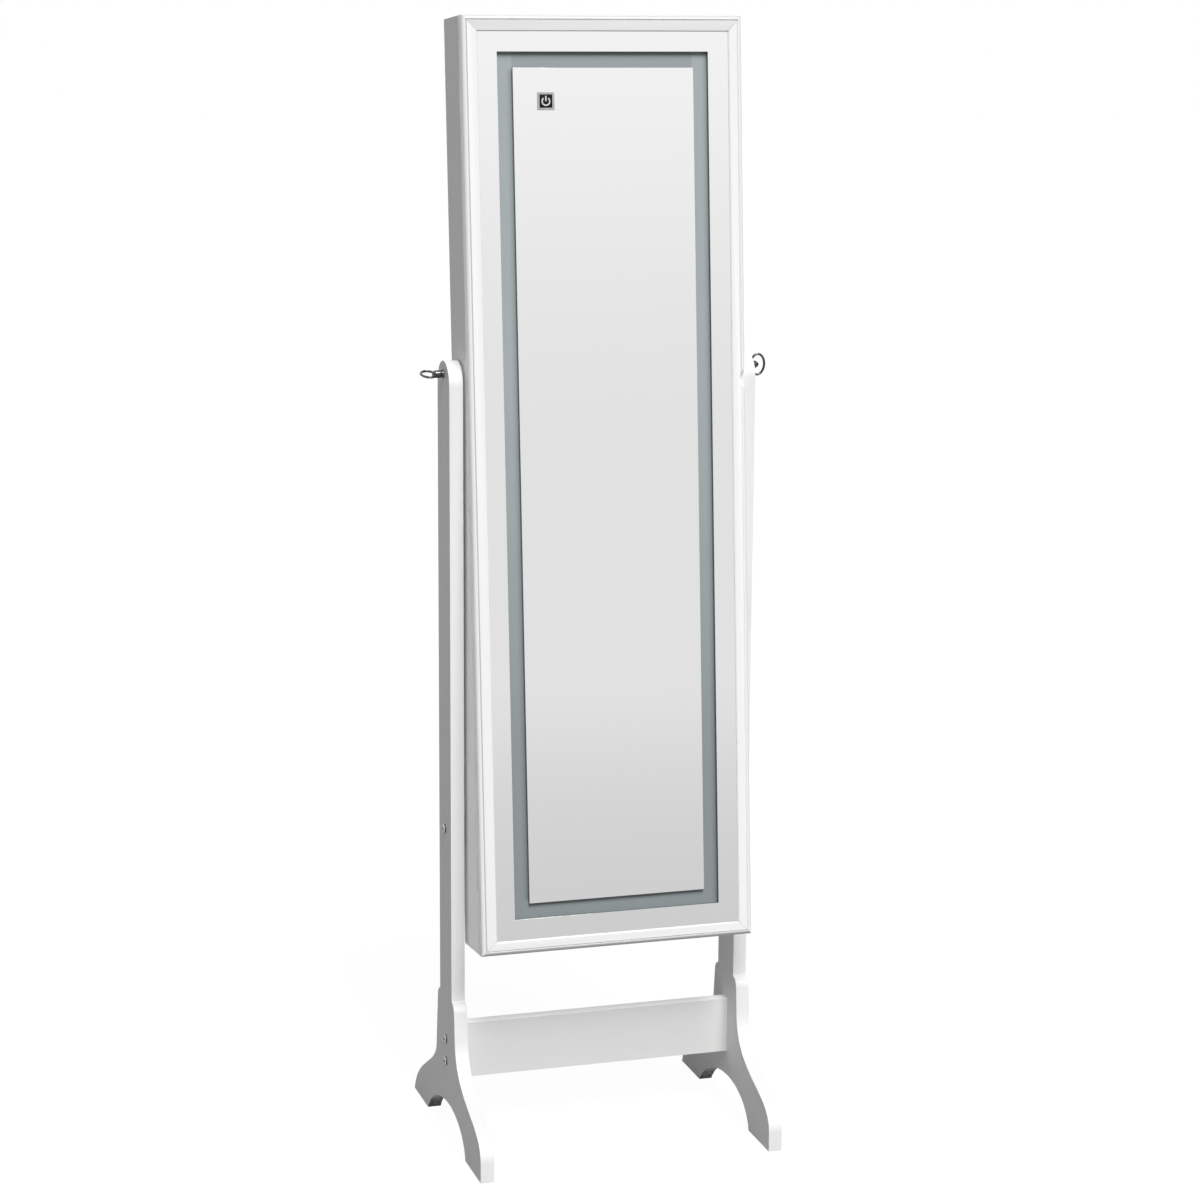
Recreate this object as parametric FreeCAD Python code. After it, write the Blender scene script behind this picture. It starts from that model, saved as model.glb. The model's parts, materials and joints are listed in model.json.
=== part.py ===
import FreeCAD, Part
import math
import os

from FreeCAD import Placement, Rotation, Vector

# Free-standing jewelry cabinet with a lit mirror door, hung on two side boards so that it leans back.
# Millimetres. X runs to the right, Y to the back, Z up. The origin is on the floor, midway between the feet.

# Stand
board = 18.0
side_gap = 3.0
upright_depth = 62.0
pivot_height = 1026.0
pivot_above_arc = 14.0
leg_height = 196.0
foot_reach = 181.0
pad_height = 1.0
pad_radius = 8.0
crossbar_bottom = 82.0
crossbar_height = 75.0
rail_centre = 425.0
rail_height = 50.0
rail_gap = 0.5

# Outline of the leg: shares of the foot reach and of the leg height, front half then back half.
shoulder_shares = [(0.224, 0.977), (0.243, 0.935)]
front_sweep_shares = [(0.260, 0.765), (0.276, 0.316), (1.0, 0.430), (1.0, 0.138)]
front_arch_shares = [(0.562, 0.0), (0.523, 0.153), (0.318, 0.245), (0.075, 0.245)]
back_arch_shares = [(0.075, 0.245), (-0.221, 0.245), (-0.470, 0.143), (-0.569, 0.0)]
back_sweep_shares = [(1.0, 0.0), (0.905, 0.286), (0.300, 0.383), (0.290, 0.571)]
pad_place_share = 0.79

# Bolts
bolt_radius = 3.0
bolt_head_radius = 6.0
bolt_head_height = 3.2
bolt_crown_share = 0.55
bolt_reach = 34.0
bolt_spacing = 31.0
bolt_clearance = 0.2

# Ring knobs on the pivot axis
shank_radius = 3.0
running_fit = 0.08
flange_radius = 5.8
flange_height = 1.6
neck_radius = 5.2
neck_length = 9.4
neck_tip_share = 0.94
ring_wire = 1.6
ring_width = 22.0
ring_length = 30.5
hub_reach = 14.5
left_ring_reach = 30.6
right_ring_reach = 24.7
hub_tip_radius = 3.0
left_knob_turn = 100.0
right_knob_turn = 4.0
washer_radius = 11.0
washer_play = 0.1
insert_radius = 5.0
shank_past_insert = 2.0

# Cabinet case
cabinet_width = 370.0
cabinet_height = 1200.0
cabinet_depth = 89.0
pivot_from_front = 51.0
pivot_from_bottom = 752.0
lean_angle = 4.6
side_board = 12.0
end_board = 12.0
seam_gap = 1.2
seam_round = 1.5
back_inset = 2.0
back_sheet = 3.0
lining = 1.5

# Inside of the case, heights above the lower board as shares of the clear inside height
shelf_board = 8.0
shelf_setback = 7.0
lip_board = 6.0
lip_height = 24.0
shelf_shares = [0.100, 0.205, 0.310]
shelf_names = ["lower", "middle", "upper"]
ring_shelf_share = 0.878
divider_board = 5.0
divider_count = 2
divider_height_share = 0.45
rod_radius = 5.0
rod_share = 0.392
rod_socket_radius = 9.0
rod_socket_depth = 7.0
rod_play = 0.3
rod_depth_share = 0.5
hook_rail_share = 0.736
hook_rail_height = 22.0
hook_rail_depth = 12.0
hook_count = 8
hook_wire = 1.3
hook_reach = 9.0
hook_bend = 5.0
hook_tip = 1.6
hook_plate_half = 4.0
hook_plate = 1.2
earring_board_sheet = 4.0
earring_board_height = 104.0
earring_standoff = 14.0
earring_strip = 10.0
earring_side_gap = 4.0
earring_slot_rows = 3
earring_slot_columns = 6
earring_slot_width = 3.0
earring_slot_share = 0.72
cushion_rows = 5
cushion_nose_share = 0.445
cushion_core = 12.0
cushion_gap = 0.3

# Door frame moulding: widths run inwards from the outer edge, depths run back from the front.
door_board = 16.0
frame_width = 18.0
bead_width = 5.0
bead_depth = 6.5
bead_bulge_share = 0.27
quirk_width = 2.0
quirk_slope = 0.5
quirk_depth = 0.9
sight_chamfer = 1.2
rebate_start = 11.0
lip_thickness = 2.6
glass_play = 0.3
notch_radius = 17.0
notch_depth = 8.0
notch_cut = 7.5
notch_height = 736.0

# Mirror, light band and backing
glass = 5.0
band_inset = 45.5
band_width = 20.0
diffuser = 1.5
backing_setback = 0.6
strip_width = 8.0
strip_thickness = 1.2
groove_floor = 3.0
switch_size = 22.5
switch_thickness = 0.8
switch_from_pane_side = 42.5
switch_from_top = 107.0
battery_box_width = 110.0
battery_box_height = 72.0
battery_box_depth = 19.0
battery_box_wall = 2.0
battery_box_share = 0.52
battery_lid = 2.0
battery_lid_play = 0.3

# Hinges on the left
hinge_inset = 1.2
hinge_length = 50.0
hinge_leaf = 1.0
hinge_leaf_width = 9.9
knuckle_radius = 1.5
knuckle_groove = 0.5
hinge_pin_radius = 0.75
knuckle_count = 3
knuckle_gap = 0.3
hinge_shares = [0.09, 0.5, 0.91]

# Lock and catches on the right
lock_height = 432.0
lock_from_case_front = 12.0
lock_plate_width = 15.0
lock_plate_height = 41.0
lock_plate_thickness = 6.4
lock_body_radius = 7.0
lock_body_inside = 8.0
lock_plug_radius = 4.6
key_slot_width = 1.4
key_slot_height = 6.0
key_slot_depth = 5.0
cam_thickness = 2.0
cam_width = 6.0
cam_reach = 11.0
cam_gap = 0.3
strike_sheet = 1.5
strike_drop = 5.0
strike_height = 10.0
strike_base = 26.0
strike_past_cam = 1.0
strike_end_gap = 1.0
catch_shares = [0.165, 0.80]
catch_height = 38.0
catch_width = 12.0
catch_depth = 11.0
catch_plate = 0.7
catch_plate_width = 10.0

overrun = 5.0
edge_land = 0.3

# Sizes that follow from the ones above
inner_width = cabinet_width + 2 * side_gap
stand_width = inner_width + 2 * board
half_upright = upright_depth / 2
arc_centre = pivot_height - pivot_above_arc
half_cabinet = cabinet_width / 2
half_inside = half_cabinet - side_board
door_front = -pivot_from_front
door_back = door_front + door_board
case_front = door_back + seam_gap
case_back = door_front + cabinet_depth
base = -pivot_from_bottom
crown = base + cabinet_height
inside_base = base + end_board
inside_height = cabinet_height - 2 * end_board
lining_front = case_back - back_inset - back_sheet - lining
shelf_front = case_front + shelf_setback
shelf_depth = lining_front - shelf_front
lean = math.radians(lean_angle)
rail_top = rail_centre + rail_height / 2
rail_front = case_back / math.cos(lean) - (pivot_height - rail_top) * math.tan(lean) + rail_gap
rail_middle = rail_front + board / 2
glass_front = door_front + lip_thickness
diffuser_front = glass_front + glass
backing_front = diffuser_front + diffuser
backing_back = door_back - backing_setback
glass_edge = rebate_start + glass_play
hinge_x = hinge_inset - half_cabinet
hinge_y = door_back + seam_gap / 2


def box(x0, x1, y0, y1, z0, z1):
    return Part.makeBox(x1 - x0, y1 - y0, z1 - z0, Vector(x0, y0, z0))


def rod_x(radius, x0, x1, y, z):
    return Part.makeCylinder(radius, x1 - x0, Vector(x0, y, z), Vector(1, 0, 0))


def rod_y(radius, y0, y1, x, z):
    return Part.makeCylinder(radius, y1 - y0, Vector(x, y0, z), Vector(0, 1, 0))


def rod_z(radius, z0, z1, x, y):
    return Part.makeCylinder(radius, z1 - z0, Vector(x, y, z0), Vector(0, 0, 1))


def mirrored(shape):
    return shape.mirror(Vector(0, 0, 0), Vector(1, 0, 0))


def leant(shape):
    copy = shape.copy()
    turn = Placement(Vector(0, 0, pivot_height), Rotation(Vector(1, 0, 0), -lean_angle))
    copy.Placement = turn.multiply(copy.Placement)
    return copy


def save(node, shape):
    shape.exportStep("parts/" + node + ".step")


def save_leant(node, shape):
    save(node, leant(shape))


def group(shapes):
    return Part.makeCompound(shapes)


# Stand


def leg_point(share, direction):
    y_share, z_share = share
    return Vector(0, direction * y_share * foot_reach, max(pad_height, z_share * leg_height))


def curve(shares, direction):
    bend = Part.BezierCurve()
    bend.setPoles([leg_point(share, direction) for share in shares])
    return bend.toShape()


def side_board_outline():
    """One closed outline: upright with a round top, shoulders, a front and a back foot, and an arch between."""
    front, back = -1, 1
    top_front = Vector(0, -half_upright, arc_centre)
    top_back = Vector(0, half_upright, arc_centre)
    neck_front = Vector(0, -half_upright, leg_height)
    neck_back = Vector(0, half_upright, leg_height)
    edges = [Part.makeLine(top_front, neck_front)]
    for direction, neck in [(front, neck_front), (back, neck_back)]:
        middle, low = [leg_point(share, direction) for share in shoulder_shares]
        edges.append(Part.Arc(neck, middle, low).toShape())
        sweep = front_sweep_shares if direction == front else back_sweep_shares
        join = sweep[0] if direction == front else sweep[-1]
        edges.append(Part.makeLine(low, leg_point(join, direction)))
        edges.append(curve(sweep, direction))
    toe_front = leg_point(front_sweep_shares[-1], front)
    sole_front = Vector(0, -foot_reach, pad_height)
    edges.append(Part.makeLine(toe_front, sole_front))
    edges.append(Part.makeLine(sole_front, leg_point(front_arch_shares[0], front)))
    edges.append(curve(front_arch_shares, front))
    edges.append(curve(back_arch_shares, front))
    edges.append(Part.makeLine(leg_point(back_arch_shares[-1], front), leg_point(back_sweep_shares[0], back)))
    edges.append(Part.makeLine(neck_back, top_back))
    crest = Vector(0, 0, arc_centre + half_upright)
    edges.append(Part.Arc(top_back, crest, top_front).toShape())
    return Part.Wire(Part.__sortEdges__(edges))


def bolt_places():
    crossbar_centre = crossbar_bottom + crossbar_height / 2
    low = [(0, crossbar_centre + step * bolt_spacing / 2) for step in (-1, 1)]
    return low, [(rail_middle, rail_centre)]


def left_side_board():
    outer = -stand_width / 2
    face = Part.Face(side_board_outline())
    face.translate(Vector(outer, 0, 0))
    shape = face.extrude(Vector(board, 0, 0))
    low, high = bolt_places()
    for y, z in low + high:
        hole = rod_x(bolt_radius + bolt_clearance, outer - overrun, outer + board + overrun, y, z)
        shape = shape.cut(hole)
    bore = rod_x(shank_radius + running_fit, outer - overrun, outer + board + overrun, 0, pivot_height)
    return shape.cut(bore)


def cross_member(y_front, z0, z1, places):
    half = inner_width / 2
    shape = box(-half, half, y_front, y_front + board, z0, z1)
    for y, z in places:
        for side in (-1, 1):
            x0, x1 = sorted([side * (half + overrun), side * (half - bolt_reach - bolt_clearance)])
            shape = shape.cut(rod_x(bolt_radius + bolt_clearance, x0, x1, y, z))
    return shape


def left_bolt(y, z):
    outer = -stand_width / 2
    shank = rod_x(bolt_radius, outer, bolt_reach - inner_width / 2, y, z)
    crown_radius = bolt_head_radius * bolt_crown_share
    seat = Vector(outer, y, z)
    head = Part.makeCone(bolt_head_radius, crown_radius, bolt_head_height, seat, Vector(-1, 0, 0))
    return head.fuse(shank)


def build_stand():
    low, high = bolt_places()
    left = left_side_board()
    save("left_side_board", left)
    save("right_side_board", mirrored(left))
    crossbar_front = -board / 2
    save("crossbar", cross_member(crossbar_front, crossbar_bottom, crossbar_bottom + crossbar_height, low))
    save("rear_rail", cross_member(rail_front, rail_centre - rail_height / 2, rail_top, high))
    low_bolts = [left_bolt(y, z) for y, z in low]
    save("crossbar_bolts", group(low_bolts + [mirrored(bolt) for bolt in low_bolts]))
    high_bolts = [left_bolt(y, z) for y, z in high]
    save("rail_bolts", group(high_bolts + [mirrored(bolt) for bolt in high_bolts]))
    pad_x = (stand_width - board) / 2
    pad_y = pad_place_share * foot_reach
    pads = [rod_z(pad_radius, 0, pad_height, x, y) for x in (-pad_x, pad_x) for y in (-pad_y, pad_y)]
    save("foot_pads", group(pads))


# Ring knobs and pivots


def oval_plate(radius, straight, centre_x):
    sheet = box(centre_x - radius, centre_x + radius, -ring_wire, ring_wire, -straight, straight)
    ends = [rod_y(radius, -ring_wire, ring_wire, centre_x, side * straight) for side in (-1, 1)]
    return sheet.fuse(ends).removeSplitter()


def oval_ring(centre_x):
    straight = (ring_length - ring_width) / 2
    outer = oval_plate(ring_width / 2, straight, centre_x)
    return outer.cut(oval_plate(ring_width / 2 - 2 * ring_wire, straight, centre_x))


def ring_knob(turn, ring_reach):
    """Screw on the pivot axis, at the right: flange, neck, tapered hub, oval ring and a shank pointing inwards.

    The ring goes through the neck, and ring_reach is how far it stands out from the side board.
    """
    face = stand_width / 2
    flange = rod_x(flange_radius, face, face + flange_height, 0, 0)
    neck_start = face + flange_height
    neck_foot = Vector(neck_start, 0, 0)
    neck = Part.makeCone(neck_radius, neck_radius * neck_tip_share, neck_length, neck_foot, Vector(1, 0, 0))
    shank_end = half_inside - shank_past_insert
    shank = rod_x(shank_radius, shank_end, face, 0, 0)
    hub_start = neck_start + neck_length
    hub_tip = face + hub_reach
    hub_foot = Vector(hub_start, 0, 0)
    hub = Part.makeCone(neck_radius * neck_tip_share, hub_tip_radius, hub_tip - hub_start, hub_foot, Vector(1, 0, 0))
    centre_x = face + ring_reach - ring_width / 2
    knob = flange.fuse([neck, shank, hub, oval_ring(centre_x)])
    knob = knob.removeSplitter()
    knob.rotate(Vector(0, 0, 0), Vector(1, 0, 0), turn)
    knob.translate(Vector(0, 0, pivot_height))
    return knob


def build_knobs():
    save("right_ring_knob", ring_knob(right_knob_turn, right_ring_reach))
    save("left_ring_knob", mirrored(ring_knob(left_knob_turn, left_ring_reach)))
    outer = rod_x(washer_radius, half_cabinet, half_cabinet + side_gap - washer_play, 0, 0)
    hole = rod_x(shank_radius + running_fit, half_inside - overrun, half_cabinet + overrun, 0, 0)
    washer = outer.cut(hole)
    save_leant("pivot_washers", group([washer, mirrored(washer)]))
    insert = rod_x(insert_radius, half_inside, half_cabinet, 0, 0).cut(hole)
    save_leant("pivot_inserts", group([insert, mirrored(insert)]))


# Case


def rounded_front(shape, x, z):
    """Rounds the front outer edge of a case board, by the door: the edge at x or at z, where given."""
    near = seam_round / 2
    picked = []
    for edge in shape.Edges:
        limits = edge.BoundBox
        at_front = abs(limits.YMin - case_front) < near and abs(limits.YMax - case_front) < near
        at_x = x is not None and abs(limits.XMin - x) < near and abs(limits.XMax - x) < near
        at_z = z is not None and abs(limits.ZMin - z) < near and abs(limits.ZMax - z) < near
        if at_front and (at_x or at_z):
            picked.append(edge)
    return shape.makeFillet(seam_round, picked)


def hinge_heights():
    return [base + share * cabinet_height for share in hinge_shares]


def hinge_pocket(height):
    low = height - hinge_length / 2 - knuckle_gap
    high = height + hinge_length / 2 + knuckle_gap
    return rod_z(knuckle_radius + knuckle_groove, low, high, hinge_x, hinge_y)


def hinge_leaf_seat(height, y0, y1):
    low = height - hinge_length / 2
    return box(hinge_x, hinge_x + hinge_leaf_width, y0, y1, low, low + hinge_length)


def case_side(side):
    x0, x1 = sorted([side * half_inside, side * half_cabinet])
    shape = box(x0, x1, case_front, case_back, base, crown)
    shape = rounded_front(shape, side * half_cabinet, None)
    shape = shape.cut(rod_x(insert_radius, x0 - overrun, x1 + overrun, 0, 0))
    return shape


def build_case():
    left = case_side(-1)
    for height in hinge_heights():
        left = left.cut(hinge_pocket(height))
        left = left.cut(hinge_leaf_seat(height, case_front - overrun, case_front + hinge_leaf))
    save_leant("case_left_side", left)
    right = case_side(1)
    lock_y = case_front + lock_from_case_front
    lock_z = base + lock_height
    right = right.cut(rod_x(lock_body_radius, half_inside - overrun, half_cabinet + overrun, lock_y, lock_z))
    save_leant("case_right_side", right)
    low = box(-half_inside, half_inside, case_front, case_back, base, inside_base)
    save_leant("case_bottom", rounded_front(low, None, base))
    high = box(-half_inside, half_inside, case_front, case_back, crown - end_board, crown)
    save_leant("case_top", rounded_front(high, None, crown))
    back0 = case_back - back_inset - back_sheet
    inside_top = crown - end_board
    panel = box(-half_inside, half_inside, back0, back0 + back_sheet, inside_base, inside_top)
    save_leant("back_panel", panel)
    save_leant("back_lining", box(-half_inside, half_inside, lining_front, back0, inside_base, inside_top))


def shelf_level(share):
    return inside_base + share * inside_height


def build_shelves():
    levels = [inside_base] + [shelf_level(share) + shelf_board for share in shelf_shares]
    for name, share in zip(shelf_names, shelf_shares):
        z0 = shelf_level(share)
        shelf = box(-half_inside, half_inside, shelf_front, lining_front, z0, z0 + shelf_board)
        save_leant(name + "_shelf", shelf)
    for name, z0 in zip(["bottom"] + shelf_names, levels):
        lip = box(-half_inside, half_inside, shelf_front, shelf_front + lip_board, z0, z0 + lip_height)
        long_edges = [edge for edge in lip.Edges if edge.BoundBox.XLength > half_inside]
        upper = [edge for edge in long_edges if edge.BoundBox.ZMin > z0 + lip_height / 2]
        save_leant(name + "_lip", lip.makeFillet(lip_board / 2 - edge_land, upper))
    z0 = shelf_level(ring_shelf_share)
    save_leant("ring_shelf", box(-half_inside, half_inside, shelf_front, lining_front, z0, z0 + shelf_board))
    floor = levels[1]
    ceiling = shelf_level(shelf_shares[1])
    top = floor + divider_height_share * (ceiling - floor)
    dividers = []
    for number in range(divider_count):
        middle = -half_inside + 2 * half_inside * (number + 1) / (divider_count + 1)
        x0 = middle - divider_board / 2
        dividers.append(box(x0, x0 + divider_board, shelf_front + lip_board, lining_front, floor, top))
    save_leant("shelf_dividers", group(dividers))


def build_rod():
    y = shelf_front + rod_depth_share * shelf_depth
    z = shelf_level(rod_share)
    end = half_inside - rod_play
    save_leant("bracelet_rod", rod_x(rod_radius, -end, end, y, z))
    socket = rod_x(rod_socket_radius, half_inside - rod_socket_depth, half_inside, y, z)
    socket = socket.cut(rod_x(rod_radius, half_inside - rod_socket_depth - overrun, half_inside, y, z))
    save_leant("rod_sockets", group([socket, mirrored(socket)]))


def hook(x, y, z):
    """One hook: a foot plate, a stem that reaches forwards and a square turned-up tip."""
    half = hook_plate_half
    plate = box(x - half, x + half, y - hook_plate, y, z - half, z + half)
    tip_y = y - hook_reach - hook_bend + hook_tip
    tip = box(x - hook_tip, x + hook_tip, tip_y - hook_tip, tip_y + hook_tip, z - hook_tip, z + hook_bend)
    stem = rod_y(hook_wire, tip_y, y, x, z)
    return plate.fuse([stem, tip])


def build_hooks():
    z0 = shelf_level(hook_rail_share)
    rail_face = lining_front - hook_rail_depth
    rail = box(-half_inside, half_inside, rail_face, lining_front, z0, z0 + hook_rail_height)
    save_leant("hook_rail", rail)
    step = 2 * half_inside / hook_count
    places = [-half_inside + step * (number + 1 / 2) for number in range(hook_count)]
    save_leant("necklace_hooks", group([hook(x, rail_face, z0 + hook_rail_height / 2) for x in places]))


def build_earring_board():
    low = shelf_level(hook_rail_share) + hook_rail_height
    high = shelf_level(ring_shelf_share)
    z0 = (low + high - earring_board_height) / 2
    z1 = z0 + earring_board_height
    half = half_inside - earring_side_gap
    sheet_back = lining_front - earring_standoff
    sheet = box(-half, half, sheet_back - earring_board_sheet, sheet_back, z0, z1)
    column = 2 * half / earring_slot_columns
    row = earring_board_height / (earring_slot_rows + 1)
    for across in range(earring_slot_columns):
        for down in range(earring_slot_rows):
            x = -half + column * (across + 1 / 2)
            z = z0 + row * (down + 1)
            reach = column * earring_slot_share / 2
            slot = box(x - reach, x + reach, sheet_back - earring_board_sheet - overrun, sheet_back + overrun,
                       z - earring_slot_width / 2, z + earring_slot_width / 2)
            sheet = sheet.cut(slot)
    save_leant("earring_board", sheet)
    feet = [z0, z1 - earring_strip]
    strips = [box(-half, half, sheet_back, lining_front, z, z + earring_strip) for z in feet]
    save_leant("earring_strips", group(strips))


def build_cushion():
    """Ring cushion: a padded core with a row of round rolls, one extruded outline."""
    floor = shelf_level(ring_shelf_share) + shelf_board
    ceiling = crown - end_board
    z0 = floor + cushion_gap
    roll = (ceiling - cushion_gap - z0) / cushion_rows
    core_face = lining_front - cushion_gap - cushion_core
    back = lining_front - cushion_gap
    x = cushion_gap - half_inside
    edges = [Part.makeLine(Vector(x, core_face, z0), Vector(x, back, z0))]
    top = z0 + roll * cushion_rows
    edges.append(Part.makeLine(Vector(x, back, z0), Vector(x, back, top)))
    edges.append(Part.makeLine(Vector(x, back, top), Vector(x, core_face, top)))
    for number in range(cushion_rows):
        low = z0 + roll * number
        crest = Vector(x, core_face - cushion_nose_share * roll, low + roll / 2)
        edges.append(Part.Arc(Vector(x, core_face, low), crest, Vector(x, core_face, low + roll)).toShape())
    face = Part.Face(Part.Wire(Part.__sortEdges__(edges)))
    save_leant("ring_cushion", face.extrude(Vector(-2 * x, 0, 0)))


# Door


def frame_section(place):
    """Moulding section of the door frame. place turns a width from the outer edge and a depth to a point."""
    quirk_end = bead_width + quirk_width
    points = {
        "outer": (0, bead_depth),
        "bulge": (bead_width * bead_bulge_share, bead_depth * bead_bulge_share),
        "bead": (bead_width, 0),
        "quirk_in": (bead_width + quirk_slope, quirk_depth),
        "quirk_out": (quirk_end - quirk_slope, quirk_depth),
        "flat": (quirk_end, 0),
        "sight": (frame_width - sight_chamfer, 0),
        "edge": (frame_width, sight_chamfer),
        "lip": (frame_width, lip_thickness),
        "rebate": (rebate_start, lip_thickness),
        "rebate_back": (rebate_start, door_board),
        "back": (seam_round, door_board),
        "ease": (seam_round * (1 - math.sqrt(1 / 2)), door_board - seam_round * (1 - math.sqrt(1 / 2))),
        "side": (0, door_board - seam_round),
    }
    at = {name: place(*value) for name, value in points.items()}
    edges = [Part.Arc(at["outer"], at["bulge"], at["bead"]).toShape()]
    front_run = ["bead", "quirk_in", "quirk_out", "flat", "sight", "edge"]
    straight = front_run + ["lip", "rebate", "rebate_back", "back"]
    for first, second in zip(straight, straight[1:]):
        edges.append(Part.makeLine(at[first], at[second]))
    edges.append(Part.Arc(at["back"], at["ease"], at["side"]).toShape())
    edges.append(Part.makeLine(at["side"], at["outer"]))
    return Part.Face(Part.Wire(edges))


def mitre(points):
    corners = [Vector(x, door_front - overrun, z) for x, z in points]
    face = Part.Face(Part.makePolygon(corners + corners[:1]))
    return face.extrude(Vector(0, door_board + 2 * overrun, 0))


def stile():
    """Left stile, mitred at both ends."""
    section = frame_section(lambda width, depth: Vector(width - half_cabinet, door_front + depth, base))
    inner = frame_width - half_cabinet
    low, high = base + frame_width, crown - frame_width
    cutter = mitre([(-half_cabinet, base), (inner, low), (inner, high), (-half_cabinet, crown)])
    return section.extrude(Vector(0, 0, cabinet_height)).common(cutter)


def rail(outer, step):
    """Top or bottom rail: step is the direction from its outer edge to the glass."""
    section = frame_section(lambda width, depth: Vector(-half_cabinet, door_front + depth, outer + step * width))
    inner = half_cabinet - frame_width
    level = outer + step * frame_width
    cutter = mitre([(-half_cabinet, outer), (half_cabinet, outer), (inner, level), (-inner, level)])
    return section.extrude(Vector(cabinet_width, 0, 0)).common(cutter)


def build_frame():
    left = stile()
    right = mirrored(left)
    for height in hinge_heights():
        left = left.cut(hinge_pocket(height))
        left = left.cut(hinge_leaf_seat(height, door_back - hinge_leaf, door_back + overrun))
    save_leant("door_left_stile", left)
    notch_centre = Vector(half_cabinet + notch_radius - notch_depth, door_front - overrun, base + notch_height)
    notch = Part.makeCylinder(notch_radius, overrun + notch_cut, notch_centre, Vector(0, 1, 0))
    save_leant("door_right_stile", right.cut(notch))
    save_leant("door_top_rail", rail(crown, -1))
    save_leant("door_bottom_rail", rail(base, 1))


def door_sheet(inset, y0, y1):
    half = half_cabinet - inset
    return box(-half, half, y0, y1, base + inset, crown - inset)


def sheet_ring(outer_inset, inner_inset, y0, y1):
    return door_sheet(outer_inset, y0, y1).cut(door_sheet(inner_inset, y0 - overrun, y1 + overrun))


def build_mirror():
    save_leant("mirror_border", sheet_ring(glass_edge, band_inset, glass_front, diffuser_front))
    save_leant("mirror_centre", door_sheet(band_inset + band_width, glass_front, diffuser_front))
    save_leant("light_diffuser", door_sheet(glass_edge, diffuser_front, backing_front))
    channel_floor = backing_back - groove_floor
    groove = sheet_ring(band_inset, band_inset + band_width, backing_front - overrun, channel_floor)
    backing = door_sheet(glass_edge, backing_front, backing_back).cut(groove)
    save_leant("door_backing_board", backing)
    strip_inset = band_inset + (band_width - strip_width) / 2
    strip = sheet_ring(strip_inset, strip_inset + strip_width, channel_floor - strip_thickness, channel_floor)
    save_leant("led_strip", strip)
    half = switch_size / 2
    x = band_inset + band_width + switch_from_pane_side - half_cabinet
    z = crown - switch_from_top
    plate = box(x - half, x + half, glass_front - switch_thickness, glass_front, z - half, z + half)
    rim = [edge for edge in plate.Edges if edge.BoundBox.YMax < glass_front - switch_thickness / 2]
    save_leant("touch_switch", plate.makeChamfer(switch_thickness / 2, rim))


def build_battery_box():
    half = battery_box_width / 2
    z0 = base + battery_box_share * cabinet_height - battery_box_height / 2
    z1 = z0 + battery_box_height
    y0 = backing_back
    y1 = y0 + battery_box_depth
    shell = box(-half, half, y0, y1, z0, z1)
    wall = battery_box_wall
    well = box(wall - half, half - wall, y0 + wall, y1 + overrun, z0 + wall, z1 - wall)
    shell = shell.cut(well)
    save_leant("battery_box", shell)
    play = battery_lid_play
    rim = wall + play
    panel = box(rim - half, half - rim, y1 - battery_lid, y1, z0 + rim, z1 - rim)
    save_leant("battery_cover", panel)
    cell_radius = (battery_box_depth - wall - battery_lid - 2 * play) / 2
    cells = []
    rows = int((battery_box_height - 2 * wall) / (2 * (cell_radius + play)))
    for number in range(rows):
        z = z0 + wall + (cell_radius + play) * (2 * number + 1)
        cells.append(rod_x(cell_radius, 2 * wall - half, half - 2 * wall, y0 + wall + play + cell_radius, z))
    save_leant("batteries", group(cells))


# Hinges


def hinge_leaf_shape(height, leaf_y0, first):
    """Leaf with every second knuckle: first is 0 for the case leaf and 1 for the door leaf."""
    low = height - hinge_length / 2
    clear = knuckle_radius + knuckle_groove
    leaf = box(hinge_x + clear, hinge_x + hinge_leaf_width, leaf_y0, leaf_y0 + hinge_leaf, low, low + hinge_length)
    pitch = hinge_length / knuckle_count
    parts = []
    for number in range(first, knuckle_count, 2):
        z0 = low + number * pitch + knuckle_gap / 2
        z1 = z0 + pitch - knuckle_gap
        parts.append(rod_z(knuckle_radius, z0, z1, hinge_x, hinge_y))
        parts.append(box(hinge_x, hinge_x + clear + hinge_leaf, leaf_y0, leaf_y0 + hinge_leaf, z0, z1))
    shape = leaf.fuse(parts).removeSplitter()
    fit = 0 if first == 0 else running_fit
    return shape.cut(rod_z(hinge_pin_radius + fit, low - overrun, low + hinge_length + overrun, hinge_x, hinge_y))


def build_hinges():
    heights = hinge_heights()
    save_leant("hinge_case_leaves", group([hinge_leaf_shape(z, case_front, 0) for z in heights]))
    save_leant("hinge_door_leaves", group([hinge_leaf_shape(z, door_back - hinge_leaf, 1) for z in heights]))
    half = hinge_length / 2
    save_leant("hinge_pins", group([rod_z(hinge_pin_radius, z - half, z + half, hinge_x, hinge_y) for z in heights]))


# Lock and catches


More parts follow.
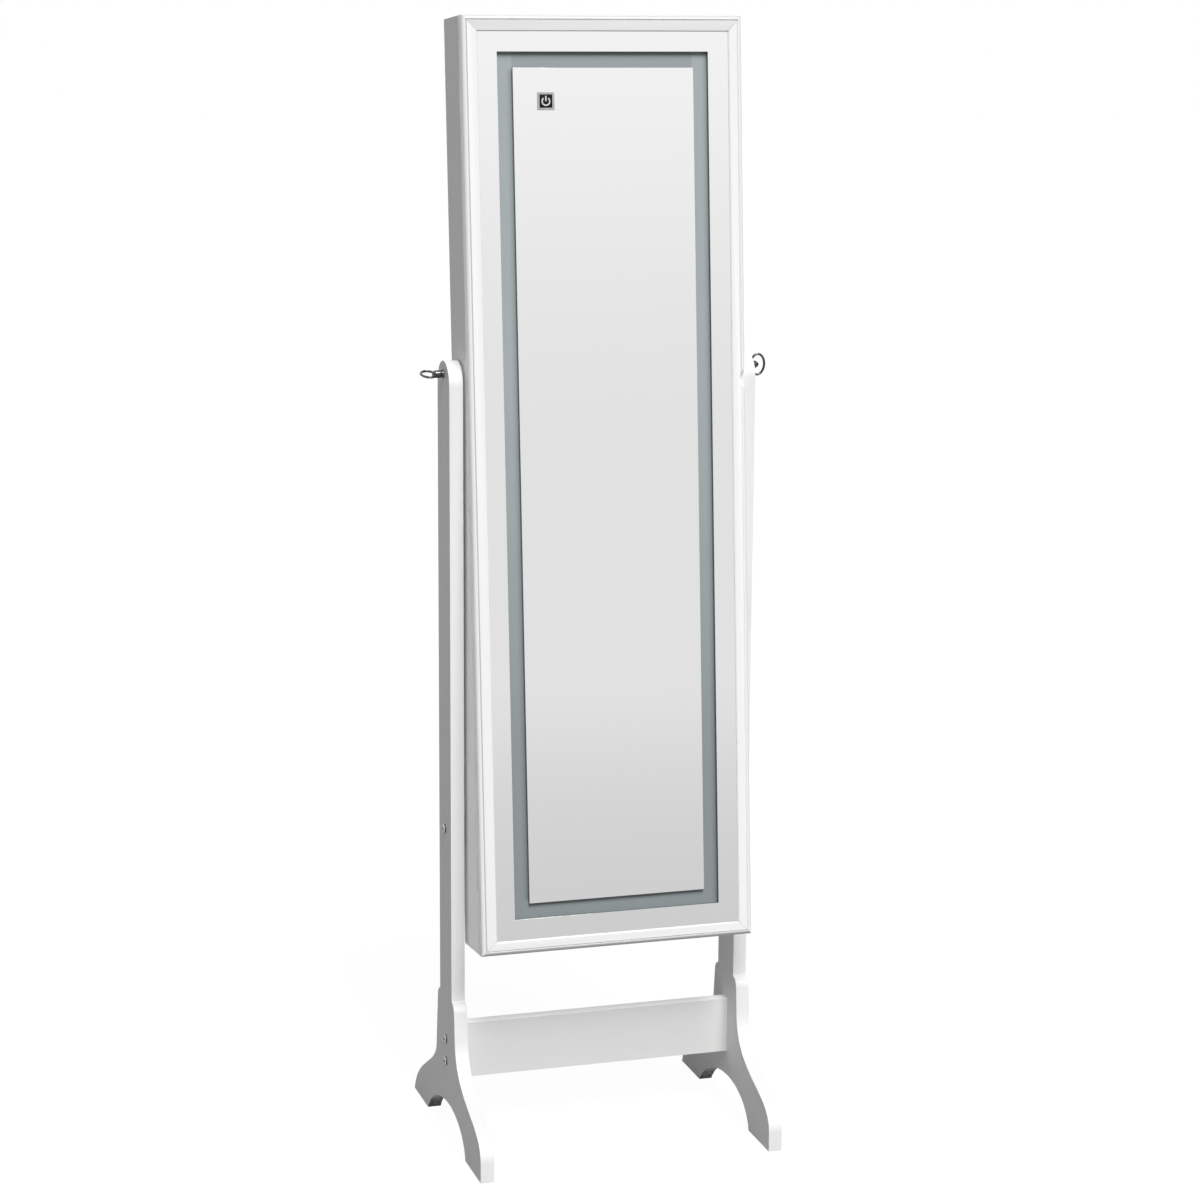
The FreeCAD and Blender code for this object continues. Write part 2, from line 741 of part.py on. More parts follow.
def build_lock():
    y = case_front + lock_from_case_front
    z = base + lock_height
    half = lock_plate_width / 2
    rise = lock_plate_height / 2
    outside = half_cabinet + lock_plate_thickness
    plug_end = half_inside - lock_body_inside
    plate = box(half_cabinet, outside, y - half, y + half, z - rise, z + rise)
    ends = [edge for edge in plate.Edges if edge.BoundBox.XLength > lock_plate_thickness / 2]
    plate = plate.makeFillet(half - edge_land, ends)
    body = rod_x(lock_body_radius, plug_end, half_cabinet, y, z)
    plug_hole = rod_x(lock_plug_radius + running_fit, plug_end - overrun, outside + overrun, y, z)
    save_leant("lock_plate", plate.cut(plug_hole))
    save_leant("lock_body", body.cut(plug_hole))
    plug = rod_x(lock_plug_radius, plug_end - cam_gap, outside, y, z)
    slot = box(outside - key_slot_depth, outside + overrun, y - key_slot_width / 2, y + key_slot_width / 2,
               z - key_slot_height / 2, z + key_slot_height / 2)
    save_leant("lock_plug", plug.cut(slot))
    cam_x1 = plug_end - cam_gap
    cam_x0 = cam_x1 - cam_thickness
    cam = box(cam_x0, cam_x1, y - cam_reach, y + cam_width / 2, z - cam_width / 2, z + cam_width / 2)
    ends = [edge for edge in cam.Edges if edge.BoundBox.XLength > cam_thickness / 2]
    save_leant("lock_cam", cam.makeFillet(cam_width / 2 - edge_land, ends))
    lip_y0 = y + cam_width / 2 + strike_past_cam
    leg_x1 = cam_x0 - 2 * strike_sheet
    top = z - strike_drop
    low = top - strike_height
    reach = plug_end - strike_end_gap
    strike_y = backing_back
    foot = box(leg_x1 - strike_base, leg_x1, strike_y, strike_y + strike_sheet, low, top)
    leg = box(leg_x1 - strike_sheet, leg_x1, strike_y, lip_y0 + strike_sheet, low, top)
    lip = box(leg_x1 - strike_sheet, reach, lip_y0, lip_y0 + strike_sheet, low, top)
    save_leant("lock_strike", foot.fuse([leg, lip]).removeSplitter())


def build_catches():
    magnets = []
    plates = []
    for share in catch_shares:
        z0 = base + share * cabinet_height
        x0 = half_inside - catch_width
        magnets.append(box(x0, half_inside, case_front, case_front + catch_depth, z0, z0 + catch_height))
        x1 = half_cabinet - glass_edge
        y0 = backing_back
        plates.append(box(x1 - catch_plate_width, x1, y0, y0 + backing_setback + catch_plate, z0, z0 + catch_height))
    save_leant("magnet_catches", group(magnets))
    save_leant("catch_plates", group(plates))


os.makedirs("parts", exist_ok=True)
build_stand()
build_knobs()
build_case()
build_shelves()
build_rod()
build_hooks()
build_earring_board()
build_cushion()
build_frame()
build_mirror()
build_battery_box()
build_hinges()
build_lock()
build_catches()
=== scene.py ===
import json
import math

import bmesh
import bpy
from bpy.props import FloatProperty, FloatVectorProperty, PointerProperty
from mathutils import Matrix, Vector, noise


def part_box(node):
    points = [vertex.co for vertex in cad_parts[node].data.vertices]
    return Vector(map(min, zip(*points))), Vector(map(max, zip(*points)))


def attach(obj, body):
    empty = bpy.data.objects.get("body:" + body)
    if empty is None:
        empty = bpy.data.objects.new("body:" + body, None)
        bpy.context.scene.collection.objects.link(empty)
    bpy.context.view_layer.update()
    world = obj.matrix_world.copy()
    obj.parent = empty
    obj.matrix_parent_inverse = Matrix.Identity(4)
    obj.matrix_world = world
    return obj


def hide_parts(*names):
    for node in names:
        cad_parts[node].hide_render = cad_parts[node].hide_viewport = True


bl_info = {
    "name": "Standing jewelry cabinet",
    "version": (1, 0, 0),
    "blender": (4, 5, 0),
    "location": "View3D > Sidebar > Cabinet",
    "description": "Dresses the jewelry cabinet: boards, mirror door, fittings, finishes and studio",
    "category": "Object",
}

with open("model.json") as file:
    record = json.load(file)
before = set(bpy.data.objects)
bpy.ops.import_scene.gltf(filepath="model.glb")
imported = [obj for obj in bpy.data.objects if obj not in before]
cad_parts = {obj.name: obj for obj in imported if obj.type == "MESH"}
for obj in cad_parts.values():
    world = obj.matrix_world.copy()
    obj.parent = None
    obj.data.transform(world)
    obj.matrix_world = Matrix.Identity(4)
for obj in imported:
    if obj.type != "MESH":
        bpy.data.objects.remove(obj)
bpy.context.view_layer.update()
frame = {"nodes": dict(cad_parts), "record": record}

MM = 0.001
SIDEWAYS = (1.0, 0.0, 0.0)
FORWARD = (0.0, -1.0, 0.0)
UP = (0.0, 0.0, 1.0)
BLACK = (0.0, 0.0, 0.0)


# Sizes and colours


def length(name, description, default):
    return FloatProperty(name=name, description=description, default=default * MM, unit="LENGTH", precision=5)


def degrees(name, description, default):
    return FloatProperty(name=name, description=description, default=math.radians(default), subtype="ANGLE")


def measure(name, description, default):
    return FloatProperty(name=name, description=description, default=default)


def share(name, description, default):
    return FloatProperty(name=name, description=description, default=default, subtype="FACTOR",
                         min=0.0, max=1.0)


def colour(name, description, default):
    return FloatVectorProperty(name=name, description=description, default=default, size=3, subtype="COLOR",
                               min=0.0, max=1.0)


def aim(name, description, default):
    return FloatVectorProperty(name=name, description=description, default=default, size=3,
                               subtype="DIRECTION")


class CabinetPosture(bpy.types.PropertyGroup):
    """Where the cabinet hangs in its stand."""

    pivot_height: length("Pivot height", "Height of the knobs' axis over the floor", 1026.0)
    lean: degrees("Lean", "How far the cabinet leans back at rest", 4.6)


class CabinetRounding(bpy.types.PropertyGroup):
    """Radii that the lacquered and metal edges are eased to."""

    board: length("Side boards", "Edge of the stand's side boards", 1.6)
    bar: length("Bars", "Edge of the crossbar and the rear rail", 0.7)
    case: length("Case", "Edge of the case boards", 0.5)
    moulding: length("Moulding", "Edge of the door's moulding and its mitres", 0.22)
    shelf: length("Shelves", "Edge of shelves, lips and rails", 0.7)
    glass: length("Glass", "Ground edge of the mirror panes", 0.25)
    metal: length("Metal", "Edge of stamped metal and moulded plastic", 0.18)


class CabinetKnob(bpy.types.PropertyGroup):
    """Ring knob on the pivot axis."""

    start: length("Start", "Distance of the side board's outer face from the middle", 206.0)
    flange: length("Flange", "Radius of the flange on the side board", 5.8)
    flange_height: length("Flange height", "Height of the flange", 1.6)
    neck: length("Neck", "Radius of the thick neck", 5.2)
    neck_length: length("Neck length", "Length of the turned neck", 9.4)
    wire: length("Wire", "Radius of the ring's wire", 1.6)
    width: length("Ring width", "Width of the oval ring over its wire", 22.0)
    ring_length: length("Ring length", "Length of the oval ring over its wire", 30.5)
    hub_tip: length("Hub tip", "Radius of the neck's blunt tip", 3.0)
    hub_reach: length("Hub reach", "How far the tip stands out from the side board", 14.5)
    left_reach: length("Left reach", "How far the left ring stands out from the side board", 30.6)
    right_reach: length("Right reach", "How far the right ring stands out from the side board", 24.7)
    shank: length("Shank", "Radius of the shank through the board", 3.0)
    shank_end: length("Shank end", "Distance of the shank's inner end from the middle", 171.0)
    left_turn: degrees("Left turn", "How the left ring stands", 100.0)
    right_turn: degrees("Right turn", "How the right ring stands", 4.0)


class CabinetBolt(bpy.types.PropertyGroup):
    """Domed bolt that draws the bars to the side boards."""

    head: length("Head", "Radius of the domed head", 6.0)
    dome: length("Dome", "Height of the dome", 3.2)
    socket: length("Socket", "Corner radius of the hexagonal socket", 2.3)
    socket_depth: length("Socket depth", "Depth of the hexagonal socket", 1.7)
    shank: length("Shank", "Radius of the shank", 3.0)
    shank_end: length("Shank end", "Distance of the shank's end from the middle", 154.0)


class CabinetDoor(bpy.types.PropertyGroup):
    """Places on the upright door, from the pivot axis."""

    band_right: length("Band right", "Outer edge of the light band at the right", 139.5)
    band_top: length("Band top", "Outer edge of the light band at the top", 402.5)
    band_bottom: length("Band bottom", "Outer edge of the light band at the bottom", -706.5)
    band_width: length("Band width", "Width of the light band", 20.0)
    half_width: length("Half width", "Half the width of the door", 185.0)
    top: length("Top", "Upper edge of the door", 448.0)
    bottom: length("Bottom", "Lower edge of the door", -752.0)
    groove: length("Groove", "Middle of the moulding's groove, from the door's edge", 6.0)
    bead: length("Bead", "Width of the bead along the outer edge", 5.2)
    groove_half_width: length("Groove half width", "Half the width of the shade in the groove", 0.9)
    mitre_half_width: length("Mitre half width", "Half the width of the shade on a mitre", 0.45)
    mitre_strength: share("Mitre strength", "Strength of the shade on a mitre", 0.6)
    wider_left: length("Wider left", "Width added to the left stile's lip over the glass", 2.4)
    deeper_top: length("Deeper top", "Width added to the top rail's lip over the glass", 2.4)
    lip_start: length("Lip start", "The lip begins this far from the door's edge", 15.0)
    lip_back: length("Lip back", "Depth behind which nothing belongs to the lip", -48.2)


class CabinetFittings(bpy.types.PropertyGroup):
    """Small fittings inside the case and on the door."""

    hook_wire: length("Hook wire", "Radius of a necklace hook's wire", 1.2)
    hook_bend: length("Hook bend", "Radius of a hook's bend", 3.2)
    hook_reach: length("Hook reach", "How far a hook stands forward of its rail", 13.6)
    hook_rise: length("Hook rise", "Height of a hook's tip over its stem", 5.0)
    hook_plate: length("Hook plate", "Half the side of a hook's foot plate", 4.0)
    hook_plate_depth: length("Hook plate depth", "Thickness of a hook's foot plate", 1.2)
    cushion_slit: length("Cushion slit", "Depth of the slits between the cushion's rolls", 15.0)
    chip_pitch: length("Chip pitch", "Distance between the light strip's chips", 20.0)
    chip_width: length("Chip width", "Width of one chip", 3.5)
    chip_height: length("Chip height", "Height of one chip", 2.8)
    symbol_radius: length("Symbol radius", "Outer radius of the switch's symbol", 5.9)
    symbol_stroke: length("Symbol stroke", "Stroke width of the switch's symbol", 1.9)
    symbol_bar: length("Symbol bar", "Height of the symbol's bar over its middle", 6.8)
    symbol_gap: degrees("Symbol gap", "Half the opening of the symbol's ring", 38.0)
    switch_window: length("Switch window", "Width of the switch's black window", 16.6)
    screw: length("Screw", "Radius of a small screw head", 1.7)
    lid_screw: length("Lid screw", "Radius of the battery lid's screw head", 2.2)
    lid_rib: length("Lid rib", "Width of a rib of the battery lid", 1.1)
    lid_rib_pitch: length("Lid rib pitch", "Distance between the ribs of the battery lid", 2.6)


class CabinetColours(bpy.types.PropertyGroup):
    """Colours of the finishes."""

    lacquer: colour("Lacquer", "White lacquer of the stand and the case", (0.820, 0.820, 0.815))
    moulding: colour("Moulding", "Glossier white of the door's moulding", (0.905, 0.905, 0.900))
    inside: colour("Inside", "Satin white of the inside boards", (0.820, 0.815, 0.800))
    mirror: colour("Mirror", "Silver of the mirror panes", (0.955, 0.960, 0.955))
    glass_edge: colour("Glass edge", "Ground edge of the panes", (0.100, 0.135, 0.128))
    # The diffuser's grey is partly the frosted sheet's own tone and partly painted shade for the dark channel
    # behind it.
    diffuser: colour("Diffuser", "Frosted sheet of the light band", (0.335, 0.375, 0.385))
    backing: colour("Backing", "Board behind the mirror", (0.760, 0.750, 0.725))
    velvet: colour("Velvet", "Pile of the lining and the ring cushion", (0.030, 0.029, 0.032))
    chrome: colour("Chrome", "Bright plating", (0.640, 0.640, 0.650))
    # Painted shade: the near-black colour given to the domed bolts' steep rims.
    bolt_chrome_rim_shade: colour("Bolt chrome", "Smoked rim of the domed bolts", (0.030, 0.030, 0.032))
    dark_chrome: colour("Dark chrome", "Smoked plating of the knobs and the lock", (0.120, 0.118, 0.118))
    steel: colour("Steel", "Zinc-plated steel", (0.560, 0.565, 0.570))
    plastic: colour("Plastic", "Black moulded plastic", (0.022, 0.022, 0.024))
    nylon: colour("Nylon", "Pale nylon washers and catches", (0.720, 0.715, 0.690))
    glide: colour("Glide", "Brown felt under the feet", (0.085, 0.045, 0.025))
    switch_rim: colour("Switch rim", "Satin grey rim of the touch switch", (0.400, 0.410, 0.420))
    symbol: colour("Symbol", "Printed symbol of the switch", (0.600, 0.610, 0.620))


class CabinetStudio(bpy.types.PropertyGroup):
    """Camera, lights and floor."""

    camera_place: FloatVectorProperty(name="Camera place", description="Where the camera stands",
                                      default=(-1.1338, -3.7145, 1.4976), size=3,
                                      subtype="TRANSLATION", unit="LENGTH")
    yaw: degrees("Yaw", "Turn of the view to the right of +Y", 17.045)
    pitch: degrees("Pitch", "Rise of the view", -11.31)
    roll: degrees("Roll", "Turn about the line of sight", 0.36)
    lens: measure("Lens", "Focal length for a 36 mm sensor, in millimetres", 90.31)
    key: measure("Key light", "Strength of the soft light from the front", 3.72)
    key_source: aim("Key source", "Where the key light comes from", (0.02, -0.615, 0.788))
    key_spread: degrees("Key spread", "Softness of the key light's shadows", 30.0)
    back: measure("Back light", "Strength of the soft light from behind", 0.5)
    back_source: aim("Back source", "Where the back light comes from", (0.05, 0.55, 0.83))
    back_spread: degrees("Back spread", "Softness of the back light's shadows", 40.0)
    ambient: share("Ambient", "Strength of the even light from all round", 0.15)
    overhead: share("Overhead", "Brightness of the sky where metal looks up at it", 0.96)
    horizon: share("Horizon", "Brightness of the sky and the far floor where metal looks at them", 0.79)
    near_floor: share("Near floor", "Brightness of the floor round the feet where metal looks at it", 0.62)
    floor_glow: measure("Floor glow", "Brightness of the floor to the eye", 1.2)
    floor_white: share("Floor white", "Share of the floor that glows white to the eye", 0.80)
    floor_radius: length("Floor radius", "Radius of the round floor", 30000.0)


GROUPS = {
    "cabinet_posture": CabinetPosture,
    "cabinet_rounding": CabinetRounding,
    "cabinet_knob": CabinetKnob,
    "cabinet_bolt": CabinetBolt,
    "cabinet_door": CabinetDoor,
    "cabinet_fittings": CabinetFittings,
    "cabinet_colours": CabinetColours,
    "cabinet_studio": CabinetStudio,
}


# Shaders


class Wire:
    """A socket of a node tree, with arithmetic that adds Math nodes."""

    def __init__(self, nodes, socket):
        self.nodes = nodes
        self.socket = socket

    def math(self, operation, first, second=0.0):
        return self.nodes.node("ShaderNodeMath", {0: first, 1: second}, operation=operation)

    def __add__(self, other):
        return self.math("ADD", self, other)

    def __radd__(self, other):
        return self.math("ADD", other, self)

    def __sub__(self, other):
        return self.math("SUBTRACT", self, other)

    def __rsub__(self, other):
        return self.math("SUBTRACT", other, self)

    def __mul__(self, other):
        return self.math("MULTIPLY", self, other)

    def least(self, other):
        return self.math("MINIMUM", self, other)

    def most(self, other):
        return self.math("MAXIMUM", self, other)

    def near(self, middle, half_width):
        """1 on a thin line about a value, fading to 0 at half_width from it."""
        return 1.0 - abs(self - middle).clear_of(half_width * 0.4, half_width)

    def __gt__(self, other):
        return self.math("GREATER_THAN", self, other)

    def __lt__(self, other):
        return self.math("LESS_THAN", self, other)

    def __abs__(self):
        return self.math("ABSOLUTE", self)

    def clear_of(self, low, high):
        """0 below low, 1 above high and a smooth step between."""
        return self.nodes.node("ShaderNodeMapRange", {0: self, 1: low, 2: high, 3: 0.0, 4: 1.0},
                               interpolation_type="SMOOTHSTEP")


class Nodes:
    """A node tree, with short ways to add its nodes and to join them."""

    def __init__(self, tree, coordinates):
        self.tree = tree
        self.place = self.node("ShaderNodeTexCoord", output=coordinates)

    def join(self, target, value):
        if isinstance(value, Wire):
            self.tree.links.new(value.socket, target)
        elif target.type == "RGBA":
            target.default_value = (*value, 1.0)
        else:
            target.default_value = value

    def node(self, kind, sockets=None, output=0, **settings):
        """Adds a node: its settings first, then the values or links of its sockets."""
        made = self.tree.nodes.new(kind)
        for name, value in settings.items():
            setattr(made, name, value)
        for name, value in (sockets or {}).items():
            self.join(made.inputs[name], value)
        return Wire(self, made.outputs[output])

    def ray(self, kind):
        """1 for rays of one kind, such as those that reach the camera straight."""
        return self.node("ShaderNodeLightPath", output=f"Is {kind} Ray")

    def mapped(self, scale):
        return self.node("ShaderNodeMapping", {"Vector": self.place, "Scale": scale})

    def grain(self, scale, detail=3.0, roughness=0.5, place=None):
        return self.node("ShaderNodeTexNoise", {"Vector": place or self.place, "Scale": scale,
                                                "Detail": detail, "Roughness": roughness})

    def cells(self, scale):
        return self.node("ShaderNodeTexVoronoi", {"Vector": self.place, "Scale": scale}, output="Distance")

    def mixed(self, amount, first, second):
        return self.node("ShaderNodeMix", {0: amount, 6: first, 7: second}, output=2, data_type="RGBA")

    def facing(self, direction):
        """How far a face looks along a direction, from -1 to 1."""
        normal = self.node("ShaderNodeTexCoord", output="Normal")
        return self.node("ShaderNodeVectorMath", {0: normal, 1: direction}, output="Value",
                         operation="DOT_PRODUCT")

    def along(self, axis):
        """One coordinate of the surface, in metres."""
        return self.node("ShaderNodeSeparateXYZ", {0: self.place}, output=axis)


class Finish(Nodes):
    """One material: a Principled shader and the nodes that vary it over a surface."""

    def __init__(self, name, base, roughness, metallic=0.0, **sockets):
        self.material = bpy.data.materials.new(name)
        self.material.use_nodes = True
        super().__init__(self.material.node_tree, "Object")
        self.shader = self.tree.nodes["Principled BSDF"]
        self.set("Base Color", base)
        self.set("Roughness", roughness)
        self.set("Metallic", metallic)
        for socket, value in sockets.items():
            self.set(socket.replace("_", " ").title(), value)

    def set(self, socket, value):
        self.join(self.shader.inputs[socket], value)

    def rise(self):
        """Height on the upright cabinet above the pivot axis, in metres."""
        posture = bpy.context.scene.cabinet_posture
        sine, cosine = math.sin(posture.lean), math.cos(posture.lean)
        return self.along("Y") * sine + self.along("Z") * cosine - posture.pivot_height * cosine

    def bumps(self, height, strength, distance):
        bump = self.node("ShaderNodeBump", {"Height": height, "Strength": strength, "Distance": distance})
        self.set("Normal", bump)


class Lacquer(Finish):
    """Sprayed lacquer: a very fine orange peel and slow, faint changes of tone and gloss."""

    def __init__(self, name, base, roughness, gloss=0.5, coat=0.0):
        super().__init__(name, base, roughness, coat_weight=coat, coat_roughness=0.12)
        self.set("Specular IOR Level", gloss)
        self.slow = self.grain(3.5, 2.0)
        peel = self.grain(420.0, 2.0, 0.45)
        self.set("Roughness", roughness + (self.slow - 0.5) * 0.10 + (peel - 0.5) * 0.06)
        self.bumps(peel, 0.07, 0.0006)

    def clouded(self, base):
        """A colour with the slow, faint changes of tone."""
        return self.mixed(self.slow, shaded(base, 0.985), base)


def shaded(base, factor):
    return tuple(channel * factor for channel in base)


def lacquer_finish(name, base, roughness, gloss, coat):
    """Plain lacquer with scarcely darker specks."""
    finish = Lacquer(name, base, roughness, gloss, coat)
    speck = finish.cells(1400.0).clear_of(0.0, 0.22)
    finish.set("Base Color", finish.mixed(speck, shaded(base, 0.965), finish.clouded(base)))
    return finish.material


def case_side_finish(colours):
    """Lacquer of the case's left side: matt above, and glossier below, where painted light makes it lighter
    beside the side board.
    """
    matt_above, gloss_and_painted_light_below = 25.0 * MM, -30.0 * MM
    finish = Lacquer("white_case_side", colours.lacquer, 0.42, 0.22)
    beside = 1.0 - finish.rise().clear_of(gloss_and_painted_light_below, matt_above)
    # Painted light: below the side board's top the side takes a lighter white than the lacquer above.
    lighter = shaded(colours.moulding, 1.07)
    finish.set("Base Color", finish.mixed(beside, finish.clouded(colours.lacquer), lighter))
    finish.set("Coat Weight", beside)
    return finish.material


def board_finish(colours):
    """Lacquer of the side boards, with painted shade on the round tops and a painted, streaky shadow low in
    the back feet's arches.
    """
    base = colours.lacquer
    painted_shadow_below, unshadowed_above = 28.0 * MM, 46.0 * MM
    finish = Lacquer("white_boards", base, 0.46, 0.22)
    # Painted shade: faces that look up are given a darker white.
    upward = finish.facing(UP).clear_of(0.2, 0.9)
    behind = finish.along("Y") > 0.0
    # Painted shadow: the back feet's arch faces turn dark, with streaks, near the floor.
    in_arch = finish.facing(FORWARD).clear_of(0.3, 0.7) * behind
    low = 1.0 - finish.along("Z").clear_of(painted_shadow_below, unshadowed_above)
    shadow_streaks = finish.grain(150.0, 3.0, 0.6, finish.mapped((1.0, 1.0, 0.35))).clear_of(0.40, 0.60)
    marks = finish.mixed(shadow_streaks, shaded(base, 0.38), shaded(base, 0.14))
    lit = finish.mixed(upward, finish.clouded(base), shaded(base, 0.86))
    finish.set("Base Color", finish.mixed(in_arch * low, lit, marks))
    return finish.material


def bar_finish(colours):
    """Lacquer of the crossbar, with painted light: its front is lighter towards the top, against the
    cabinet's shadow, and its top is lighter still.
    """
    base = colours.lacquer
    painted_light_start, painted_light_full = 90.0 * MM, 175.0 * MM
    finish = Lacquer("white_crossbar", base, 0.46, 0.22)
    # Painted light: the front's white grows lighter with height, and faces that look up are lighter again.
    upward = finish.facing(UP).clear_of(0.3, 0.8)
    high = finish.along("Z").clear_of(painted_light_start, painted_light_full)
    front = finish.mixed(high, shaded(base, 0.91), shaded(base, 1.13))
    front = finish.mixed(finish.slow * 0.4, front, shaded(base, 0.93))
    finish.set("Base Color", finish.mixed(upward, front, shaded(base, 1.17)))
    return finish.material


def moulding_finish(colours, name, tone, groove_shade_strength, painted_bead_shade=0.0):
    """Glossier lacquer of the door's moulding, with painted shade in its groove, on faces that look up and on
    the bottom rail's bead, and dark joint lines on its mitres.
    """
    # tone gives each rail a lit or shaded copy of the moulding's white: painted light and shade.
    base = shaded(colours.moulding, tone)
    line = shaded(base, 0.25)
    door = bpy.context.scene.cabinet_door
    finish = Lacquer(name, base, 0.30, coat=0.70)
    rise = finish.rise()
    from_side = door.half_width - abs(finish.along("X"))
    from_end = (door.top - rise).least(rise - door.bottom)
    groove = from_side.least(from_end).near(door.groove, door.groove_half_width)
    mitre = (from_side - from_end).near(0.0, door.mitre_half_width)
    upward = finish.facing(UP).clear_of(0.3, 0.9)
    # Painted shade: faces that look up, and the bead along the bottom rail where asked for, are given a
    # darker white.
    plain = finish.mixed(upward, finish.clouded(base), shaded(base, 0.72))
    plain = finish.mixed((from_end < door.bead) * painted_bead_shade, plain, shaded(base, 0.55))
    # Painted shade darkens the groove; the mitres get a dark joint line.
    groove_shaded = finish.mixed(groove * groove_shade_strength, plain, line)
    finish.set("Base Color", finish.mixed(mitre * door.mitre_strength, groove_shaded, line))
    return finish.material


def mirror_finish(colours, front):
    """Silvered glass with a ground, dark edge."""
    finish = Finish("mirror_silver", colours.mirror, 0.012, 1.0)
    edge = abs(finish.facing(front)) < 0.6
    haze = finish.grain(2.2, 4.0)
    ground = finish.grain(900.0, 2.0)
    silver = finish.mixed(haze, shaded(colours.mirror, 0.993), colours.mirror)
    rim = finish.mixed(ground, shaded(colours.glass_edge, 0.6), shaded(colours.glass_edge, 1.5))
    finish.set("Base Color", finish.mixed(edge, silver, rim))
    finish.set("Metallic", 1.0 - edge)
    finish.set("Roughness", 0.008 + haze * 0.012 + edge * 0.30)
    return finish.material


def diffuser_finish(colours):
    """Frosted sheet in the light band: a fine frost, with painted shade along the edges that the glass stands
    over and towards the bottom.
    """
    base = colours.diffuser
    door = bpy.context.scene.cabinet_door
    finish = Finish("frosted_diffuser", base, 0.46)
    cloud = finish.grain(9.0, 3.0)
    frost = finish.grain(1600.0, 2.0, 0.7)
    across = finish.along("X")
    rise = finish.rise()
    inner = door.band_right - door.band_width
    inner_top = door.band_top - door.band_width
    inner_bottom = door.band_bottom + door.band_width
    side_shade, top_shade, pane_end = 9.0 * MM, 13.0 * MM, 7.0 * MM
    under_edge, full_light_at = -2.0 * MM, 100.0 * MM

    # Painted shade: the sheet darkens along the panes' edges, under the inner pane's lower edge and towards
    # the band's bottom.
    right = (door.band_right - across).clear_of(under_edge, side_shade)
    by_pane = (across < -inner) * (1.0 - rise.clear_of(inner_top - pane_end, inner_top))
    by_pane = by_pane * rise.clear_of(inner_bottom, inner_bottom + pane_end)
    left = 1.0 - by_pane * (1.0 - (-inner - across).clear_of(under_edge, side_shade))
    top = (door.band_top - rise).clear_of(under_edge / 2, top_shade)
    under_pane = (abs(across) < inner) * (1.0 - (inner_bottom - rise).clear_of(under_edge / 2, side_shade))
    foot = rise.clear_of(door.band_bottom, full_light_at)

    light = (0.66 + right * 0.34) * (0.66 + left * 0.34) * (0.74 + top * 0.26)
    light = light * (1.0 - under_pane * 0.16) * (0.66 + foot * 0.34)
    tone = finish.mixed(cloud, shaded(base, 0.97), shaded(base, 1.08))
    tone = finish.mixed(frost * 0.3, tone, shaded(base, 1.2))
    finish.set("Base Color", finish.mixed(light, BLACK, tone))
    finish.set("Roughness", 0.38 + frost * 0.18)
    finish.bumps(frost, 0.12, 0.0003)
    return finish.material


def fibreboard_finish(name, base):
    """Pale board with pressed fibres."""
    finish = Finish(name, base, 0.62)
    fibre = finish.grain(260.0, 5.0, 0.65, finish.mapped((1.0, 1.0, 0.35)))
    cloud = finish.grain(14.0, 3.0)
    tone = finish.mixed(cloud, shaded(base, 0.94), base)
    finish.set("Base Color", finish.mixed(fibre.clear_of(0.45, 0.75), tone, shaded(base, 0.82)))
    finish.set("Roughness", 0.55 + fibre * 0.18)
    finish.bumps(fibre, 0.22, 0.0004)
    return finish.material


def velvet_finish(colours):
    """Short velvet pile, with brushed patches."""
    base = colours.velvet
    finish = Finish("velvet", base, 0.92, sheen_weight=0.55, sheen_roughness=0.35)
    finish.set("Sheen Tint", (0.55, 0.54, 0.58))
    nap = finish.grain(28.0, 4.0, 0.6)
    pile = finish.grain(2600.0, 2.0, 0.7)
    tone = finish.mixed(nap.clear_of(0.35, 0.7), shaded(base, 0.75), shaded(base, 1.9))
    finish.set("Base Color", finish.mixed(pile * 0.5, tone, shaded(base, 2.6)))
    finish.set("Roughness", 0.84 + pile * 0.14)
    finish.bumps(pile, 0.35, 0.0006)
    return finish.material


def plated_finish(name, base, roughness, brushed=0.0):
    """Plated metal: fine polishing marks, faint clouds and small handling marks."""
    finish = Finish(name, base, roughness, 1.0)
    cloud = finish.grain(60.0, 4.0)
    marks = finish.grain(1500.0, 3.0, 0.6, finish.mapped((1.0, 0.08, 1.0)))
    finish.set("Base Color", finish.mixed(cloud, shaded(base, 0.90), shaded(base, 1.06)))
    finish.set("Roughness", roughness + (cloud - 0.5) * roughness * 0.6 + marks * brushed)
    finish.bumps(marks, 0.03 + brushed, 0.0002)
    return finish.material


def bolt_finish(colours):
    """Plated bolt heads: a bright crown, and painted shade on the rim."""
    finish = Finish("bolt_plating", colours.chrome, 0.16, 1.0)
    # Painted shade: the steep rim of each dome is given a near-black colour.
    crown = abs(finish.facing(SIDEWAYS)).clear_of(0.50, 0.78)
    cloud = finish.grain(160.0, 3.0)
    bright = finish.mixed(cloud, shaded(colours.chrome, 0.85), colours.chrome)
    finish.set("Base Color", finish.mixed(crown, colours.bolt_chrome_rim_shade, bright))
    finish.set("Roughness", 0.14 + cloud * 0.08)
    return finish.material


def plastic_finish(name, base, roughness, gloss=0.5):
    """Moulded plastic with a fine spark-eroded texture."""
    finish = Finish(name, base, roughness)
    finish.set("Specular IOR Level", gloss)
    cells = finish.cells(1800.0)
    cloud = finish.grain(40.0, 2.0)
    finish.set("Base Color", finish.mixed(cloud, shaded(base, 0.88), shaded(base, 1.12)))
    finish.set("Roughness", roughness - 0.04 + cells * 0.10)
    finish.bumps(cells, 0.18, 0.0003)
    return finish.material


